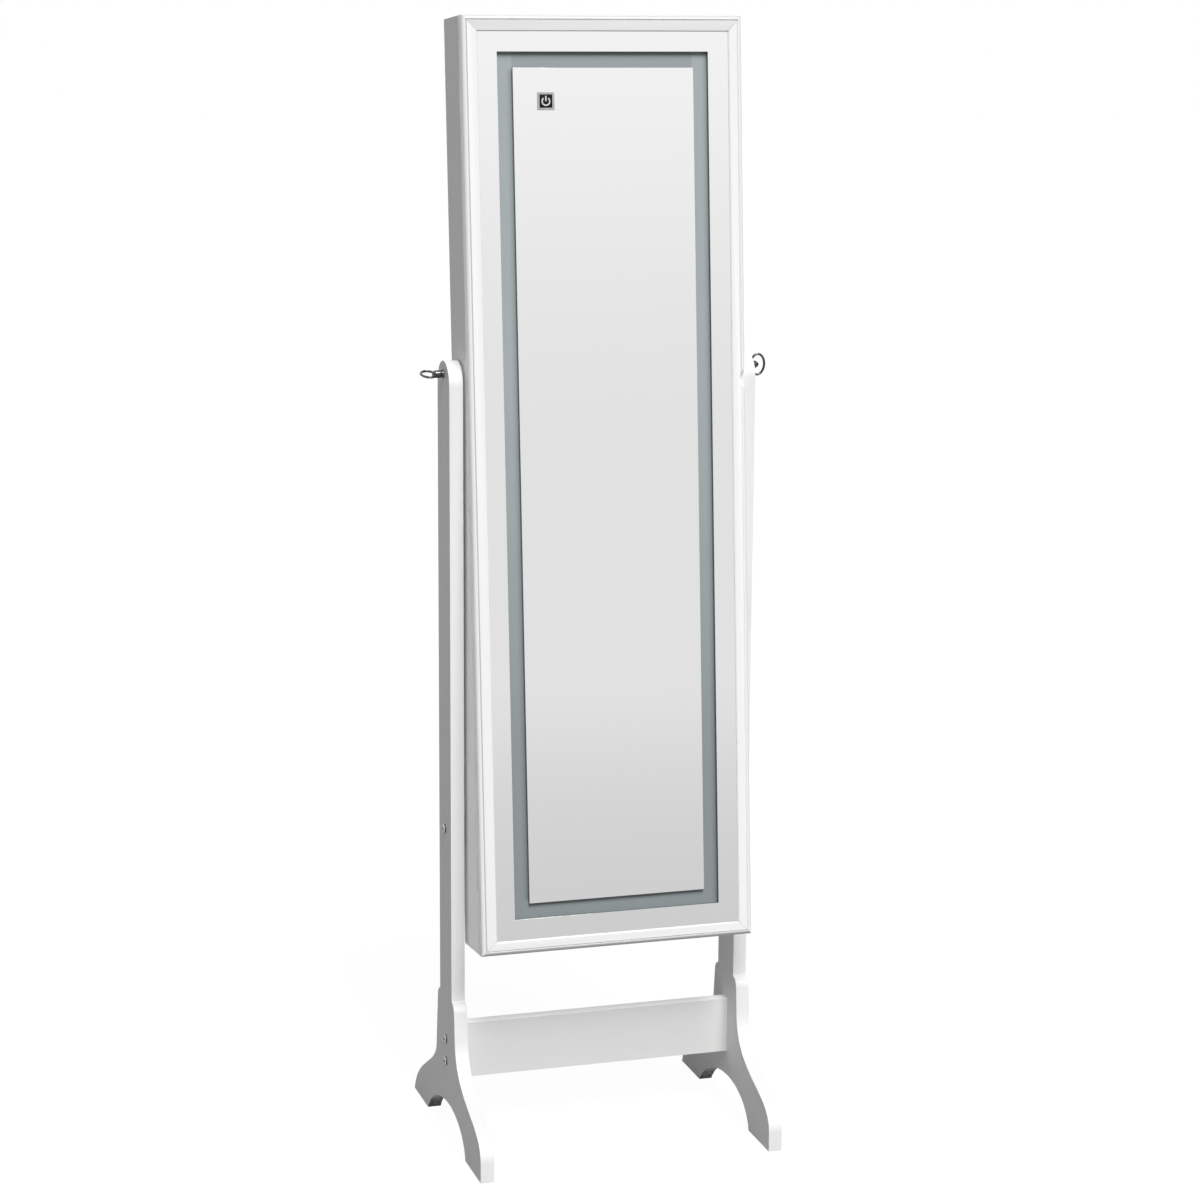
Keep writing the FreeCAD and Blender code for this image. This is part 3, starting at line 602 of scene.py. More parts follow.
def felt_finish(colours):
    """Pressed brown felt."""
    base = colours.glide
    finish = Finish("brown_felt", base, 0.95)
    fibre = finish.grain(1900.0, 4.0, 0.7)
    finish.set("Base Color", finish.mixed(fibre, shaded(base, 0.6), shaded(base, 1.7)))
    finish.set("Roughness", 0.9 + fibre * 0.08)
    finish.bumps(fibre, 0.5, 0.0006)
    return finish.material


def cell_finish():
    """Wrapped battery cell: dark wrapper with one bright band at the positive end."""
    band_start = 30.0 * MM
    finish = Finish("cell_wrap", (0.05, 0.05, 0.055), 0.3)
    band = finish.along("X") > band_start
    scuff = finish.grain(160.0, 3.0)
    dark = finish.mixed(scuff, (0.035, 0.036, 0.040), (0.065, 0.066, 0.070))
    finish.set("Base Color", finish.mixed(band, dark, (0.62, 0.40, 0.16)))
    finish.set("Roughness", 0.24 + scuff * 0.14)
    return finish.material


def strip_finish():
    """White flexible strip with thin copper-coloured tracks."""
    finish = Finish("light_strip", (0.80, 0.80, 0.79), 0.45)
    grain = finish.grain(700.0, 2.0)
    tracks = finish.cells(170.0).clear_of(0.05, 0.12)
    finish.set("Base Color", finish.mixed(tracks, (0.55, 0.43, 0.27), (0.82, 0.82, 0.81)))
    finish.set("Roughness", 0.38 + grain * 0.16)
    return finish.material


FINISHES = {}


class CABINET_OT_finishes(bpy.types.Operator):
    """Make every material, under the plain name that the pieces use"""

    bl_idname = "cabinet.finishes"
    bl_label = "Finishes"

    def execute(self, context):
        colours = context.scene.cabinet_colours
        lean = context.scene.cabinet_posture.lean
        glass_front = (0.0, -math.cos(lean), math.sin(lean))
        FINISHES.update({
            "lacquer": lacquer_finish("white_lacquer", colours.lacquer, 0.46, 0.22, 0.0),
            # Painted light: the case boards take the moulding's lighter white, a lit copy of the stand's
            # lacquer, so the shade beside the side boards reads lighter.
            "case": lacquer_finish("white_case", colours.moulding, 0.34, 0.50, 0.55),
            "inside": lacquer_finish("satin_white", colours.inside, 0.46, 0.35, 0.0),
            "case_side": case_side_finish(colours),
            "bar": bar_finish(colours),
            "board": board_finish(colours),
            # Painted light and shade: the rails take lit and shaded copies of one white, with painted groove
            # shade of different strengths.
            "door_left_stile": moulding_finish(colours, "white_left_moulding", 0.96, 0.65),
            "door_right_stile": moulding_finish(colours, "white_right_moulding", 0.99, 0.25),
            "door_top_rail": moulding_finish(colours, "white_top_moulding", 0.82, 0.0),
            "door_bottom_rail": moulding_finish(colours, "white_bottom_moulding", 0.97, 0.30, 1.0),
            "mirror": mirror_finish(colours, glass_front),
            "diffuser": diffuser_finish(colours),
            "backing": fibreboard_finish("white_fibreboard", colours.backing),
            "velvet": velvet_finish(colours),
            "chrome": plated_finish("bright_plating", colours.chrome, 0.10),
            "bolt_chrome_rim_shade": bolt_finish(colours),
            "dark_chrome": plated_finish("smoked_plating", colours.dark_chrome, 0.22),
            "steel": plated_finish("zinc_plating", colours.steel, 0.27, 0.05),
            "plastic": plastic_finish("black_plastic", colours.plastic, 0.42),
            "gloss_black": plastic_finish("black_window", shaded(colours.plastic, 0.3), 0.40, 0.12),
            "nylon": plastic_finish("pale_nylon", colours.nylon, 0.40),
            "switch_rim": plastic_finish("satin_grey_rim", colours.switch_rim, 0.45),
            "symbol": plastic_finish("printed_symbol", colours.symbol, 0.35),
            "felt": felt_finish(colours),
            "cell": cell_finish(),
            "strip": strip_finish(),
        })
        return {"FINISHED"}


# Making pieces


def lean_place(x=0.0, y=0.0, z=0.0):
    """Matrix to the leaning cabinet from the upright one, moved by x, y, z from the pivot axis."""
    posture = bpy.context.scene.cabinet_posture
    leaning = Matrix.Translation((0.0, 0.0, posture.pivot_height)) @ Matrix.Rotation(-posture.lean, 4, "X")
    return leaning @ Matrix.Translation((x, y, z))


def piece(name, shape, finish, body, replaced=(), smooth=30.0):
    """Turns a bmesh into a finished piece that rides on a body and stands for CAD nodes."""
    mesh = bpy.data.meshes.new(name)
    shape.to_mesh(mesh)
    shape.free()
    for polygon in mesh.polygons:
        polygon.use_smooth = True
    mesh.set_sharp_from_angle(angle=math.radians(smooth))
    mesh.materials.append(FINISHES[finish])
    made = bpy.data.objects.new(name, mesh)
    bpy.context.scene.collection.objects.link(made)
    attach(made, body)
    if replaced:
        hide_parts(*replaced)
    return made


def body_of_node(node):
    return next(name for name, nodes in frame["record"]["behaviour"]["bodies"].items() if node in nodes)


def joined_copy(node):
    """A merged copy of a CAD node, its flat faces joined to one face each."""
    shape = bmesh.new()
    shape.from_mesh(frame["nodes"][node].data)
    bmesh.ops.remove_doubles(shape, verts=shape.verts[:], dist=0.000002)
    bmesh.ops.dissolve_limit(shape, angle_limit=math.radians(0.3), use_dissolve_boundaries=False,
                             verts=shape.verts[:], edges=shape.edges[:])
    return shape


def eased(node, finish, radius, steps=3, angle=28.0):
    """A CAD node with its sharp edges rounded, as a piece that stands for it."""
    made = piece(node + "_eased", joined_copy(node), finish, body_of_node(node), (node,), smooth=angle)
    rounding = made.modifiers.new("Rounding", "BEVEL")
    rounding.width = radius
    rounding.segments = steps
    rounding.limit_method = "ANGLE"
    rounding.angle_limit = math.radians(angle)
    rounding.harden_normals = True
    return made


def painted(node, finish):
    """Gives a CAD node that stays as it is its finish."""
    for slot in frame["nodes"][node].material_slots:
        slot.material = FINISHES[finish]


def turned(outline, steps=48):
    """Spins an outline of (distance along X, radius) points about the X axis to a closed shape."""
    shape = bmesh.new()
    points = [shape.verts.new((x, 0.0, radius)) for x, radius in outline]
    edges = [shape.edges.new(pair) for pair in zip(points, points[1:])]
    bmesh.ops.spin(shape, geom=points + edges, cent=(0, 0, 0), axis=(1, 0, 0), angle=math.tau, steps=steps,
                   use_merge=True)
    bmesh.ops.remove_doubles(shape, verts=shape.verts[:], dist=0.0000005)
    bmesh.ops.recalc_face_normals(shape, faces=shape.faces[:])
    return shape


def arc(centre, radius, first, last, steps):
    """Points of an arc in a plane, as (across, up) pairs, angles in degrees."""
    turns = [math.radians(first + (last - first) * step / steps) for step in range(steps + 1)]
    return [(centre[0] + radius * math.cos(turn), centre[1] + radius * math.sin(turn)) for turn in turns]


def block(shape, low, high, ease=0.0, steps=2):
    """Adds a box between two corners, its edges rounded by ease."""
    made = bmesh.ops.create_cube(shape, size=1.0)["verts"]
    middle = [(a + b) / 2 for a, b in zip(low, high)]
    bmesh.ops.scale(shape, vec=[b - a for a, b in zip(low, high)], verts=made)
    bmesh.ops.translate(shape, vec=middle, verts=made)
    if ease:
        edges = list({edge for vert in made for edge in vert.link_edges})
        bmesh.ops.bevel(shape, geom=edges, offset=ease, segments=steps, profile=0.5, affect="EDGES",
                        material=-1)
    return made


def moved(shape, matrix, verts=None):
    bmesh.ops.transform(shape, matrix=matrix, verts=verts or shape.verts[:])
    return shape


def mirrored_across(shape):
    """Mirrors a whole shape in X and turns its faces outwards again."""
    bmesh.ops.scale(shape, vec=(-1, 1, 1), verts=shape.verts[:])
    bmesh.ops.reverse_faces(shape, faces=shape.faces[:])
    return shape


def gathered(shapes):
    """Several shapes as one."""
    whole = bmesh.new()
    for shape in shapes:
        mesh = bpy.data.meshes.new("part")
        shape.to_mesh(mesh)
        shape.free()
        whole.from_mesh(mesh)
        bpy.data.meshes.remove(mesh)
    return whole


def screw_head(radius, facing, place):
    """A flat cross-recessed screw head, its face looking along facing."""
    rise = radius * 0.28
    outline = [(-rise, 0.0), (-rise, radius), (0.0, radius)]
    for turn in (0.0, math.radians(30), math.radians(60)):
        outline.append((rise * math.sin(turn), radius * math.cos(turn) * 0.94))
    outline += [(rise, radius * 0.30), (-rise * 0.6, radius * 0.16), (-rise * 0.6, 0.0)]
    shape = turned(outline, 20)
    half_width, half_length = radius * 0.10, radius * 0.55
    for turn in (0.0, math.pi / 2):
        bar = block(shape, (rise * 0.2, -half_width, -half_length), (rise * 1.02, half_width, half_length))
        moved(shape, Matrix.Rotation(turn, 4, "X"), bar)
    spin = Vector((1, 0, 0)).rotation_difference(Vector(facing)).to_matrix().to_4x4()
    return moved(shape, place @ spin)


# Stand


class CABINET_OT_boards(bpy.types.Operator):
    """Make the side boards, the two bars and the foot pads"""

    bl_idname = "cabinet.boards"
    bl_label = "Stand boards"

    def execute(self, context):
        rounding = context.scene.cabinet_rounding
        for node in ("left_side_board", "right_side_board"):
            eased(node, "board", rounding.board, 4)
        eased("crossbar", "bar", rounding.bar, 4)
        eased("rear_rail", "lacquer", rounding.bar, 4)
        eased("foot_pads", "felt", rounding.metal)
        return {"FINISHED"}


def bolt(along_y, along_z, side):
    """One domed bolt: a dome with a hexagonal socket, a rim and the shank."""
    sizes = bpy.context.scene.cabinet_bolt
    start = bpy.context.scene.cabinet_knob.start
    mouth = sizes.socket * 1.12
    floor = start + sizes.dome - sizes.socket_depth
    outline = [(sizes.shank_end, 0.0), (sizes.shank_end, sizes.shank), (start, sizes.shank)]
    outline.append((start, sizes.head))
    for step in range(8, 70, 6):
        rise = math.radians(step)
        outline.append((start + sizes.dome * math.sin(rise), sizes.head * math.cos(rise)))
    outline += [(start + sizes.dome * 0.965, mouth), (floor, mouth), (floor, 0.0)]
    shape = turned(outline, 40)
    socket = turned([(floor + 0.05 * MM, sizes.socket * 0.9), (start + sizes.dome * 0.93, sizes.socket * 0.9),
                     (start + sizes.dome * 0.955, mouth)], 6)
    bmesh.ops.reverse_faces(socket, faces=socket.faces[:])
    shape = gathered([shape, socket])
    if side < 0:
        mirrored_across(shape)
    return moved(shape, Matrix.Translation((0.0, along_y, along_z)))


def bolt_centres(node):
    """Middle of every bolt head of a node on one side, as (y, z): two over each other, or one."""
    radius = bpy.context.scene.cabinet_bolt.head
    low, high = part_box(node)
    y = (low[1] + high[1]) / 2
    if high[2] - low[2] > 3 * radius:
        return [(y, low[2] + radius), (y, high[2] - radius)]
    return [(y, (low[2] + high[2]) / 2)]


class CABINET_OT_bolts(bpy.types.Operator):
    """Make the domed bolts"""

    bl_idname = "cabinet.bolts"
    bl_label = "Bolts"

    def execute(self, context):
        for node in ("crossbar_bolts", "rail_bolts"):
            shapes = [bolt(y, z, side) for y, z in bolt_centres(node) for side in (-1, 1)]
            piece(node + "_domed", gathered(shapes), "bolt_chrome_rim_shade", "stand", (node,))
        return {"FINISHED"}


def oval_ring(centre_x):
    """Round wire bent to an oval in the XZ plane."""
    knob = bpy.context.scene.cabinet_knob
    narrow = knob.width / 2 - knob.wire
    long = knob.ring_length / 2 - knob.wire
    shape = bmesh.new()
    section = bmesh.ops.create_circle(shape, cap_ends=False, radius=knob.wire, segments=20)["verts"]
    bmesh.ops.translate(shape, vec=(narrow, 0, 0), verts=section)
    edges = shape.edges[:]
    bmesh.ops.spin(shape, geom=section + edges, cent=(0, 0, 0), axis=(0, 1, 0), angle=math.tau, steps=72,
                   use_merge=True)
    for vert in shape.verts:
        angle = math.atan2(vert.co.z, vert.co.x)
        vert.co += Vector((0.0, 0.0, (long - narrow) * math.sin(angle)))
    bmesh.ops.recalc_face_normals(shape, faces=shape.faces[:])
    return moved(shape, Matrix.Translation((centre_x, 0, 0)))


def ring_knob(turn, side, reach):
    """Ring knob of one side: shank, flange, thick neck with a turned groove, blunt tip and the oval ring."""
    knob = bpy.context.scene.cabinet_knob
    start = knob.start
    top = start + knob.flange_height
    shoulder = top + knob.neck_length
    end = start + knob.hub_reach
    round_edge, round_tip = 0.5 * MM, 0.9 * MM
    groove_start, groove_end = 1.0 * MM, 2.2 * MM
    outline = [(knob.shank_end, 0.0), (knob.shank_end, knob.shank), (start, knob.shank), (start, knob.flange)]
    outline += arc((top - round_edge, knob.flange - round_edge), round_edge, 90, 0, 5)
    outline += [(top, knob.neck * 0.90), (top + groove_start, knob.neck * 0.86)]
    outline += arc((top + groove_end, knob.neck - round_edge), round_edge, 170, 90, 5)
    outline += arc((shoulder - round_edge, knob.neck * 0.96 - round_edge), round_edge, 90, 25, 5)
    outline += arc((end - round_tip, knob.hub_tip - round_tip), round_tip, 50, 0, 5) + [(end, 0.0)]
    neck = turned(outline, 48)
    ring = oval_ring(start + reach - knob.width / 2)
    shape = gathered([neck, ring])
    moved(shape, Matrix.Rotation(turn, 4, "X"))
    if side < 0:
        mirrored_across(shape)
    return moved(shape, Matrix.Translation((0.0, 0.0, bpy.context.scene.cabinet_posture.pivot_height)))


class CABINET_OT_knobs(bpy.types.Operator):
    """Make the ring knobs and their washers"""

    bl_idname = "cabinet.knobs"
    bl_label = "Ring knobs"

    def execute(self, context):
        knob = context.scene.cabinet_knob
        rounding = context.scene.cabinet_rounding
        for name, turn, side, reach in (("left", knob.left_turn, -1, knob.left_reach),
                                        ("right", knob.right_turn, 1, knob.right_reach)):
            shape = ring_knob(turn, side, reach)
            piece(name + "_knob_turned", shape, "dark_chrome", name + "_knob",
                  (name + "_ring_knob",), smooth=40.0)
        eased("pivot_washers", "nylon", rounding.metal)
        eased("pivot_inserts", "steel", rounding.metal)
        return {"FINISHED"}


# Cabinet


class CABINET_OT_case(bpy.types.Operator):
    """Make the case boards and the back"""

    bl_idname = "cabinet.case"
    bl_label = "Case"

    def execute(self, context):
        rounding = context.scene.cabinet_rounding
        eased("case_left_side", "case_side", rounding.case)
        for node in ("case_right_side", "case_top", "case_bottom"):
            eased(node, "case", rounding.case)
        painted("back_panel", "backing")
        painted("back_lining", "velvet")
        return {"FINISHED"}


class CABINET_OT_shelves(bpy.types.Operator):
    """Make the shelves, lips, dividers and rails"""

    bl_idname = "cabinet.shelves"
    bl_label = "Shelves"

    def execute(self, context):
        rounding = context.scene.cabinet_rounding
        for name in ("lower", "middle", "upper", "ring"):
            eased(name + "_shelf", "inside", rounding.metal)
        for name in ("bottom", "lower", "middle", "upper"):
            eased(name + "_lip", "inside", rounding.metal)
        eased("shelf_dividers", "inside", rounding.shelf)
        eased("hook_rail", "inside", rounding.shelf)
        eased("earring_board", "velvet", rounding.metal, 2)
        eased("earring_strips", "inside", rounding.metal)
        return {"FINISHED"}


class CABINET_OT_rod(bpy.types.Operator):
    """Make the bracelet rod and its sockets"""

    bl_idname = "cabinet.rod"
    bl_label = "Bracelet rod"

    def execute(self, context):
        rounding = context.scene.cabinet_rounding
        eased("bracelet_rod", "chrome", rounding.shelf)
        eased("rod_sockets", "nylon", rounding.metal)
        return {"FINISHED"}


def wire_hook():
    """One wire hook that points along -Y from its foot plate at y 0: stem, bend and tip with a ball."""
    sizes = bpy.context.scene.cabinet_fittings
    wire = sizes.hook_wire
    shape = bmesh.new()
    ring = bmesh.ops.create_circle(shape, cap_ends=False, radius=wire, segments=14)["verts"]
    bmesh.ops.rotate(shape, cent=(0, 0, 0), matrix=Matrix.Rotation(math.pi / 2, 3, "X"), verts=ring)
    corner = sizes.hook_reach - wire - sizes.hook_bend

    def on(result):
        verts = [item for item in result if isinstance(item, bmesh.types.BMVert)]
        edges = [item for item in result if isinstance(item, bmesh.types.BMEdge)]
        return verts, edges

    verts, edges = on(bmesh.ops.extrude_edge_only(shape, edges=shape.edges[:])["geom"])
    bmesh.ops.translate(shape, vec=(0, -corner, 0), verts=verts)
    turn = bmesh.ops.spin(shape, geom=verts + edges, cent=(0, -corner, sizes.hook_bend), axis=(1, 0, 0),
                          angle=-math.pi / 2, steps=8)["geom_last"]
    verts, edges = on(turn)
    verts, edges = on(bmesh.ops.extrude_edge_only(shape, edges=edges)["geom"])
    bmesh.ops.translate(shape, vec=(0, 0, sizes.hook_rise - sizes.hook_bend), verts=verts)
    ball = bmesh.ops.create_uvsphere(shape, u_segments=16, v_segments=10, radius=wire * 1.35)["verts"]
    bmesh.ops.translate(shape, vec=(0, -corner - sizes.hook_bend, sizes.hook_rise), verts=ball)
    bmesh.ops.remove_doubles(shape, verts=shape.verts[:], dist=0.0000005)
    bmesh.ops.recalc_face_normals(shape, faces=shape.faces[:])
    plate = sizes.hook_plate
    block(shape, (-plate, -sizes.hook_plate_depth, -plate), (plate, 0.0, plate), 0.4 * MM)
    return shape


class CABINET_OT_hooks(bpy.types.Operator):
    """Make the bent wire hooks"""

    bl_idname = "cabinet.hooks"
    bl_label = "Necklace hooks"

    def execute(self, context):
        count = 8
        low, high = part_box("hook_rail")
        step = (high[0] - low[0]) / count
        rail_face, rail_middle = 19.5 * MM, 136.5 * MM
        hooks = []
        for place in range(count):
            x = low[0] + step * (place + 0.5)
            hooks.append(moved(wire_hook(), lean_place(x, rail_face, rail_middle)))
        piece("necklace_hooks_bent", gathered(hooks), "chrome", "cabinet",
              ("necklace_hooks",), smooth=40.0)
        return {"FINISHED"}


def cushion_outline(back, front, low, high, rows):
    """Section of the ring cushion as (y, z) points: a flat back, and one round nose for each roll."""
    slit = bpy.context.scene.cabinet_fittings.cushion_slit
    between_rolls = 0.15 * MM
    nose_steps = 16
    roll = (high - low) / rows
    radius = roll / 2 - between_rolls
    mouth = front + slit
    outline = [(back, low), (mouth, low)]
    for row in range(rows):
        centre = low + roll * (row + 0.5)
        outline.append((mouth, centre - radius))
        for step in range(1, nose_steps):
            angle = math.pi * step / nose_steps
            outline.append((mouth - slit * math.sin(angle) ** 0.75, centre - radius * math.cos(angle)))
        outline.append((mouth, centre + radius))
    return outline + [(mouth, high), (back, high)]


class CABINET_OT_cushion(bpy.types.Operator):
    """Make the ring cushion: padded rolls with deep slits, softly uneven along their length"""

    bl_idname = "cabinet.cushion"
    bl_label = "Ring cushion"

    def execute(self, context):
        back, front, low, high = 31.2 * MM, 7.2 * MM, 300.8 * MM, 435.7 * MM
        half, end_round = 172.7 * MM, 4.0 * MM
        rows, sections = 5, 96
        shape = bmesh.new()
        for y, z in cushion_outline(back, front, low, high, rows):
            shape.verts.new((-half, y, z))
        bmesh.ops.remove_doubles(shape, verts=shape.verts[:], dist=0.00001)
        verts = list(shape.verts)
        layer = [shape.edges.new(pair) for pair in zip(verts, verts[1:] + verts[:1])]
        for _ in range(sections):
            grown = bmesh.ops.extrude_edge_only(shape, edges=layer)["geom"]
            layer = [item for item in grown if isinstance(item, bmesh.types.BMEdge)]
            fresh = [item for item in grown if isinstance(item, bmesh.types.BMVert)]
            bmesh.ops.translate(shape, vec=(2 * half / sections, 0, 0), verts=fresh)
        bmesh.ops.holes_fill(shape, edges=[edge for edge in shape.edges if edge.is_boundary], sides=0)
        for vert in shape.verts:
            forward = max(0.0, min(1.0, (back - vert.co.y) / (back - front)))
            wave = noise.noise(Vector((vert.co.x * 38, vert.co.z * 30, 0.0)))
            fine = noise.noise(Vector((vert.co.x * 150, vert.co.z * 90, 7.0)))
            end = max(0.0, (abs(vert.co.x) - half + end_round) / end_round)
            vert.co.y += forward * ((0.9 * wave + 0.35 * fine) * MM + 3.0 * MM * end * end)
        bmesh.ops.recalc_face_normals(shape, faces=shape.faces[:])
        moved(shape, lean_place())
        made = piece("ring_cushion_padded", shape, "velvet", "cabinet", ("ring_cushion",),
                     smooth=60.0)
        return {"FINISHED"}


class CABINET_OT_hinges(bpy.types.Operator):
    """Make the hinges and their screws"""

    bl_idname = "cabinet.hinges"
    bl_label = "Hinges"

    def execute(self, context):
        rounding = context.scene.cabinet_rounding
        radius = context.scene.cabinet_fittings.screw
        for node in ("hinge_case_leaves", "hinge_door_leaves", "hinge_pins"):
            eased(node, "steel", rounding.metal, 2)
        x, screw_step = -177.85 * MM, 17.0 * MM
        hinge_middles = (-644.0 * MM, -152.0 * MM, 340.0 * MM)
        for body, y, facing in (("cabinet", -33.8 * MM, -1), ("door", -35.0 * MM, 1)):
            heads = []
            for middle in hinge_middles:
                for step in (-1, 0, 1):
                    place = lean_place(x, y, middle + screw_step * step)
                    heads.append(screw_head(radius, (0, facing, 0), place))
            piece("hinge_screws_" + body, gathered(heads), "steel", body)
        return {"FINISHED"}


class CABINET_OT_lock(bpy.types.Operator):
    """Make the lock and its strike"""

    bl_idname = "cabinet.lock"
    bl_label = "Lock"

    def execute(self, context):
        rounding = context.scene.cabinet_rounding
        eased("lock_plate", "dark_chrome", 0.9 * MM, 4)
        eased("lock_body", "steel", rounding.metal, 2)
        eased("lock_plug", "chrome", rounding.metal, 2)
        for node in ("lock_cam", "lock_strike"):
            eased(node, "steel", rounding.metal, 2)
        return {"FINISHED"}


class CABINET_OT_catches(bpy.types.Operator):
    """Make the magnet catches with two steel poles each, their plates on the door and the screws"""

    bl_idname = "cabinet.catches"
    bl_label = "Catches"

    def execute(self, context):
        rounding = context.scene.cabinet_rounding
        eased("magnet_catches", "nylon", 0.6 * MM)
        eased("catch_plates", "steel", rounding.metal, 2)
        catch_middles = (-535.0 * MM, 227.0 * MM)
        pole_starts, pole_width, pole_half = (163.2 * MM, 168.8 * MM), 1.6 * MM, 13.0 * MM
        pole_front, pole_back = -33.9 * MM, -30.0 * MM
        screw_x, screw_y, screw_step, screw_radius = 168.7 * MM, -34.25 * MM, 14.0 * MM, 1.5 * MM
        poles = bmesh.new()
        heads = []
        for middle in catch_middles:
            for start in pole_starts:
                block(poles, (start, pole_front, middle - pole_half),
                      (start + pole_width, pole_back, middle + pole_half), 0.15 * MM)
            for step in (-1, 1):
                place = lean_place(screw_x, screw_y, middle + screw_step * step)
                heads.append(screw_head(screw_radius, (0, 1, 0), place))
        moved(poles, lean_place())
        piece("magnet_poles", poles, "steel", "cabinet")
        piece("catch_plate_screws", gathered(heads), "steel", "door")
        return {"FINISHED"}


# Door


class CABINET_OT_frame(bpy.types.Operator):
    """Make the mitred door frame, its left and top lips a little wider over the glass"""

    bl_idname = "cabinet.frame"
    bl_label = "Door frame"

    def execute(self, context):
        rounding = context.scene.cabinet_rounding
        door = context.scene.cabinet_door
        upright = lean_place().inverted()
        for node in ("door_left_stile", "door_right_stile", "door_top_rail", "door_bottom_rail"):
            made = eased(node, node, rounding.moulding, 2, 24.0)
            for vert in made.data.vertices:
                place = upright @ vert.co
                on_lip = place.y < door.lip_back
                if on_lip and -door.half_width + door.lip_start < place.x < 0.0:
                    place.x += door.wider_left
                if on_lip and door.top - door.lip_start > place.z > 0.0:
                    place.z -= door.deeper_top
                vert.co = lean_place() @ place
        return {"FINISHED"}


class CABINET_OT_mirror(bpy.types.Operator):
    """Make the mirror panes and the light band"""

    bl_idname = "cabinet.mirror"
    bl_label = "Mirror"

    def execute(self, context):
        rounding = context.scene.cabinet_rounding
        eased("mirror_border", "mirror", rounding.glass, 2)
        eased("mirror_centre", "mirror", rounding.glass, 2)
        painted("light_diffuser", "diffuser")
        painted("door_backing_board", "backing")
        return {"FINISHED"}


class CABINET_OT_light(bpy.types.Operator):
    """Make the light strip, with a row of chips all round"""

    bl_idname = "cabinet.light"
    bl_label = "Light strip"

    def execute(self, context):
        painted("led_strip", "strip")
        sizes = context.scene.cabinet_fittings
        door = context.scene.cabinet_door
        shape = bmesh.new()
        front, back = -40.6 * MM, -39.8 * MM
        inset = door.band_width / 2
        side, bottom, top = door.band_right - inset, door.band_bottom + inset, door.band_top - inset
        half_width, half_height = sizes.chip_width / 2, sizes.chip_height / 2

        def chip(x, z):
            block(shape, (x - half_width, front, z - half_height), (x + half_width, back, z + half_height))

        across = int(2 * side / sizes.chip_pitch)
        for number in range(across + 1):
            x = -side + 2 * side * number / across
            chip(x, bottom)
            chip(x, top)
        upward = int((top - bottom) / sizes.chip_pitch)
        for number in range(1, upward):
            z = bottom + (top - bottom) * number / upward
            chip(-side, z)
            chip(side, z)
        moved(shape, lean_place())
        piece("light_chips", shape, "nylon", "door")
        return {"FINISHED"}


def standby_sign():
    """Flat sign for standby: a ring open at the top with a bar in the opening, its face looking along -Y."""
    sizes = bpy.context.scene.cabinet_fittings
    ground, thickness = -0.04 * MM, 0.05 * MM
    opening = sizes.symbol_gap
    inner = sizes.symbol_radius - sizes.symbol_stroke
    sign = bmesh.new()
    verts = [sign.verts.new((radius, ground, 0.0)) for radius in (inner, sizes.symbol_radius)]
    edge = sign.edges.new(verts)
    start = Matrix.Rotation(opening - math.pi / 2, 3, "Y")
    bmesh.ops.rotate(sign, cent=(0, 0, 0), matrix=start, verts=verts)
    bmesh.ops.spin(sign, geom=verts + [edge], cent=(0, 0, 0), axis=(0, 1, 0),
                   angle=math.tau - 2 * opening, steps=40)
    bmesh.ops.recalc_face_normals(sign, faces=sign.faces[:])
    stroke = sizes.symbol_stroke / 2
    bar = [(-stroke, 0.0), (stroke, 0.0), (stroke, sizes.symbol_bar), (-stroke, sizes.symbol_bar)]
    sign.faces.new([sign.verts.new((across, ground, up)) for across, up in bar])
    grown = bmesh.ops.extrude_face_region(sign, geom=sign.faces[:])["geom"]
    fresh = [item for item in grown if isinstance(item, bmesh.types.BMVert)]
    bmesh.ops.translate(sign, vec=(0, -thickness, 0), verts=fresh)
    bmesh.ops.recalc_face_normals(sign, faces=sign.faces[:])
    return sign


class CABINET_OT_switch(bpy.types.Operator):
    """Make the touch switch: grey rim, black window and the printed sign for standby"""

    bl_idname = "cabinet.switch"
    bl_label = "Switch"

    def execute(self, context):
        half = context.scene.cabinet_fittings.switch_window / 2
        x, z, front = -77.0 * MM, 341.0 * MM, -49.2 * MM
        proud, sunk = 0.06 * MM, 0.1 * MM
        eased("touch_switch", "switch_rim", 0.15 * MM, 2)
        window = bmesh.new()
        block(window, (x - half, front - proud, z - half), (x + half, front + sunk, z + half), 0.04 * MM)
        piece("switch_window", moved(window, lean_place()), "gloss_black", "door")
        sign = moved(standby_sign(), lean_place(x, front - proud / 2, z - 0.3 * MM))
        piece("switch_sign", sign, "symbol", "door")
        return {"FINISHED"}


class CABINET_OT_battery(bpy.types.Operator):
    """Make the battery box with its ribbed lid, the lid's screw and the cells"""

    bl_idname = "cabinet.battery"
    bl_label = "Battery box"

    def execute(self, context):
        sizes = context.scene.cabinet_fittings
        eased("battery_box", "plastic", 0.7 * MM, 3)
        eased("battery_cover", "plastic", 0.3 * MM, 2)
        eased("batteries", "cell", 0.5 * MM, 3)
        rib_count, first_rib = 7, 30.0 * MM
        lid, rib_top = -16.7 * MM, -16.15 * MM
        rib_low, rib_high = -140.0 * MM, -116.0 * MM
        screw_x, screw_y, screw_z = -44.0 * MM, -16.6 * MM, -128.0 * MM
        ribs = bmesh.new()
        for number in range(rib_count):
            start = first_rib + number * sizes.lid_rib_pitch
            block(ribs, (start, lid, rib_low), (start + sizes.lid_rib, rib_top, rib_high), 0.2 * MM)
        piece("battery_lid_ribs", moved(ribs, lean_place()), "plastic", "door")
        head = screw_head(sizes.lid_screw, (0, 1, 0), lean_place(screw_x, screw_y, screw_z))
        piece("battery_lid_screw", head, "steel", "door")
        return {"FINISHED"}


# Studio


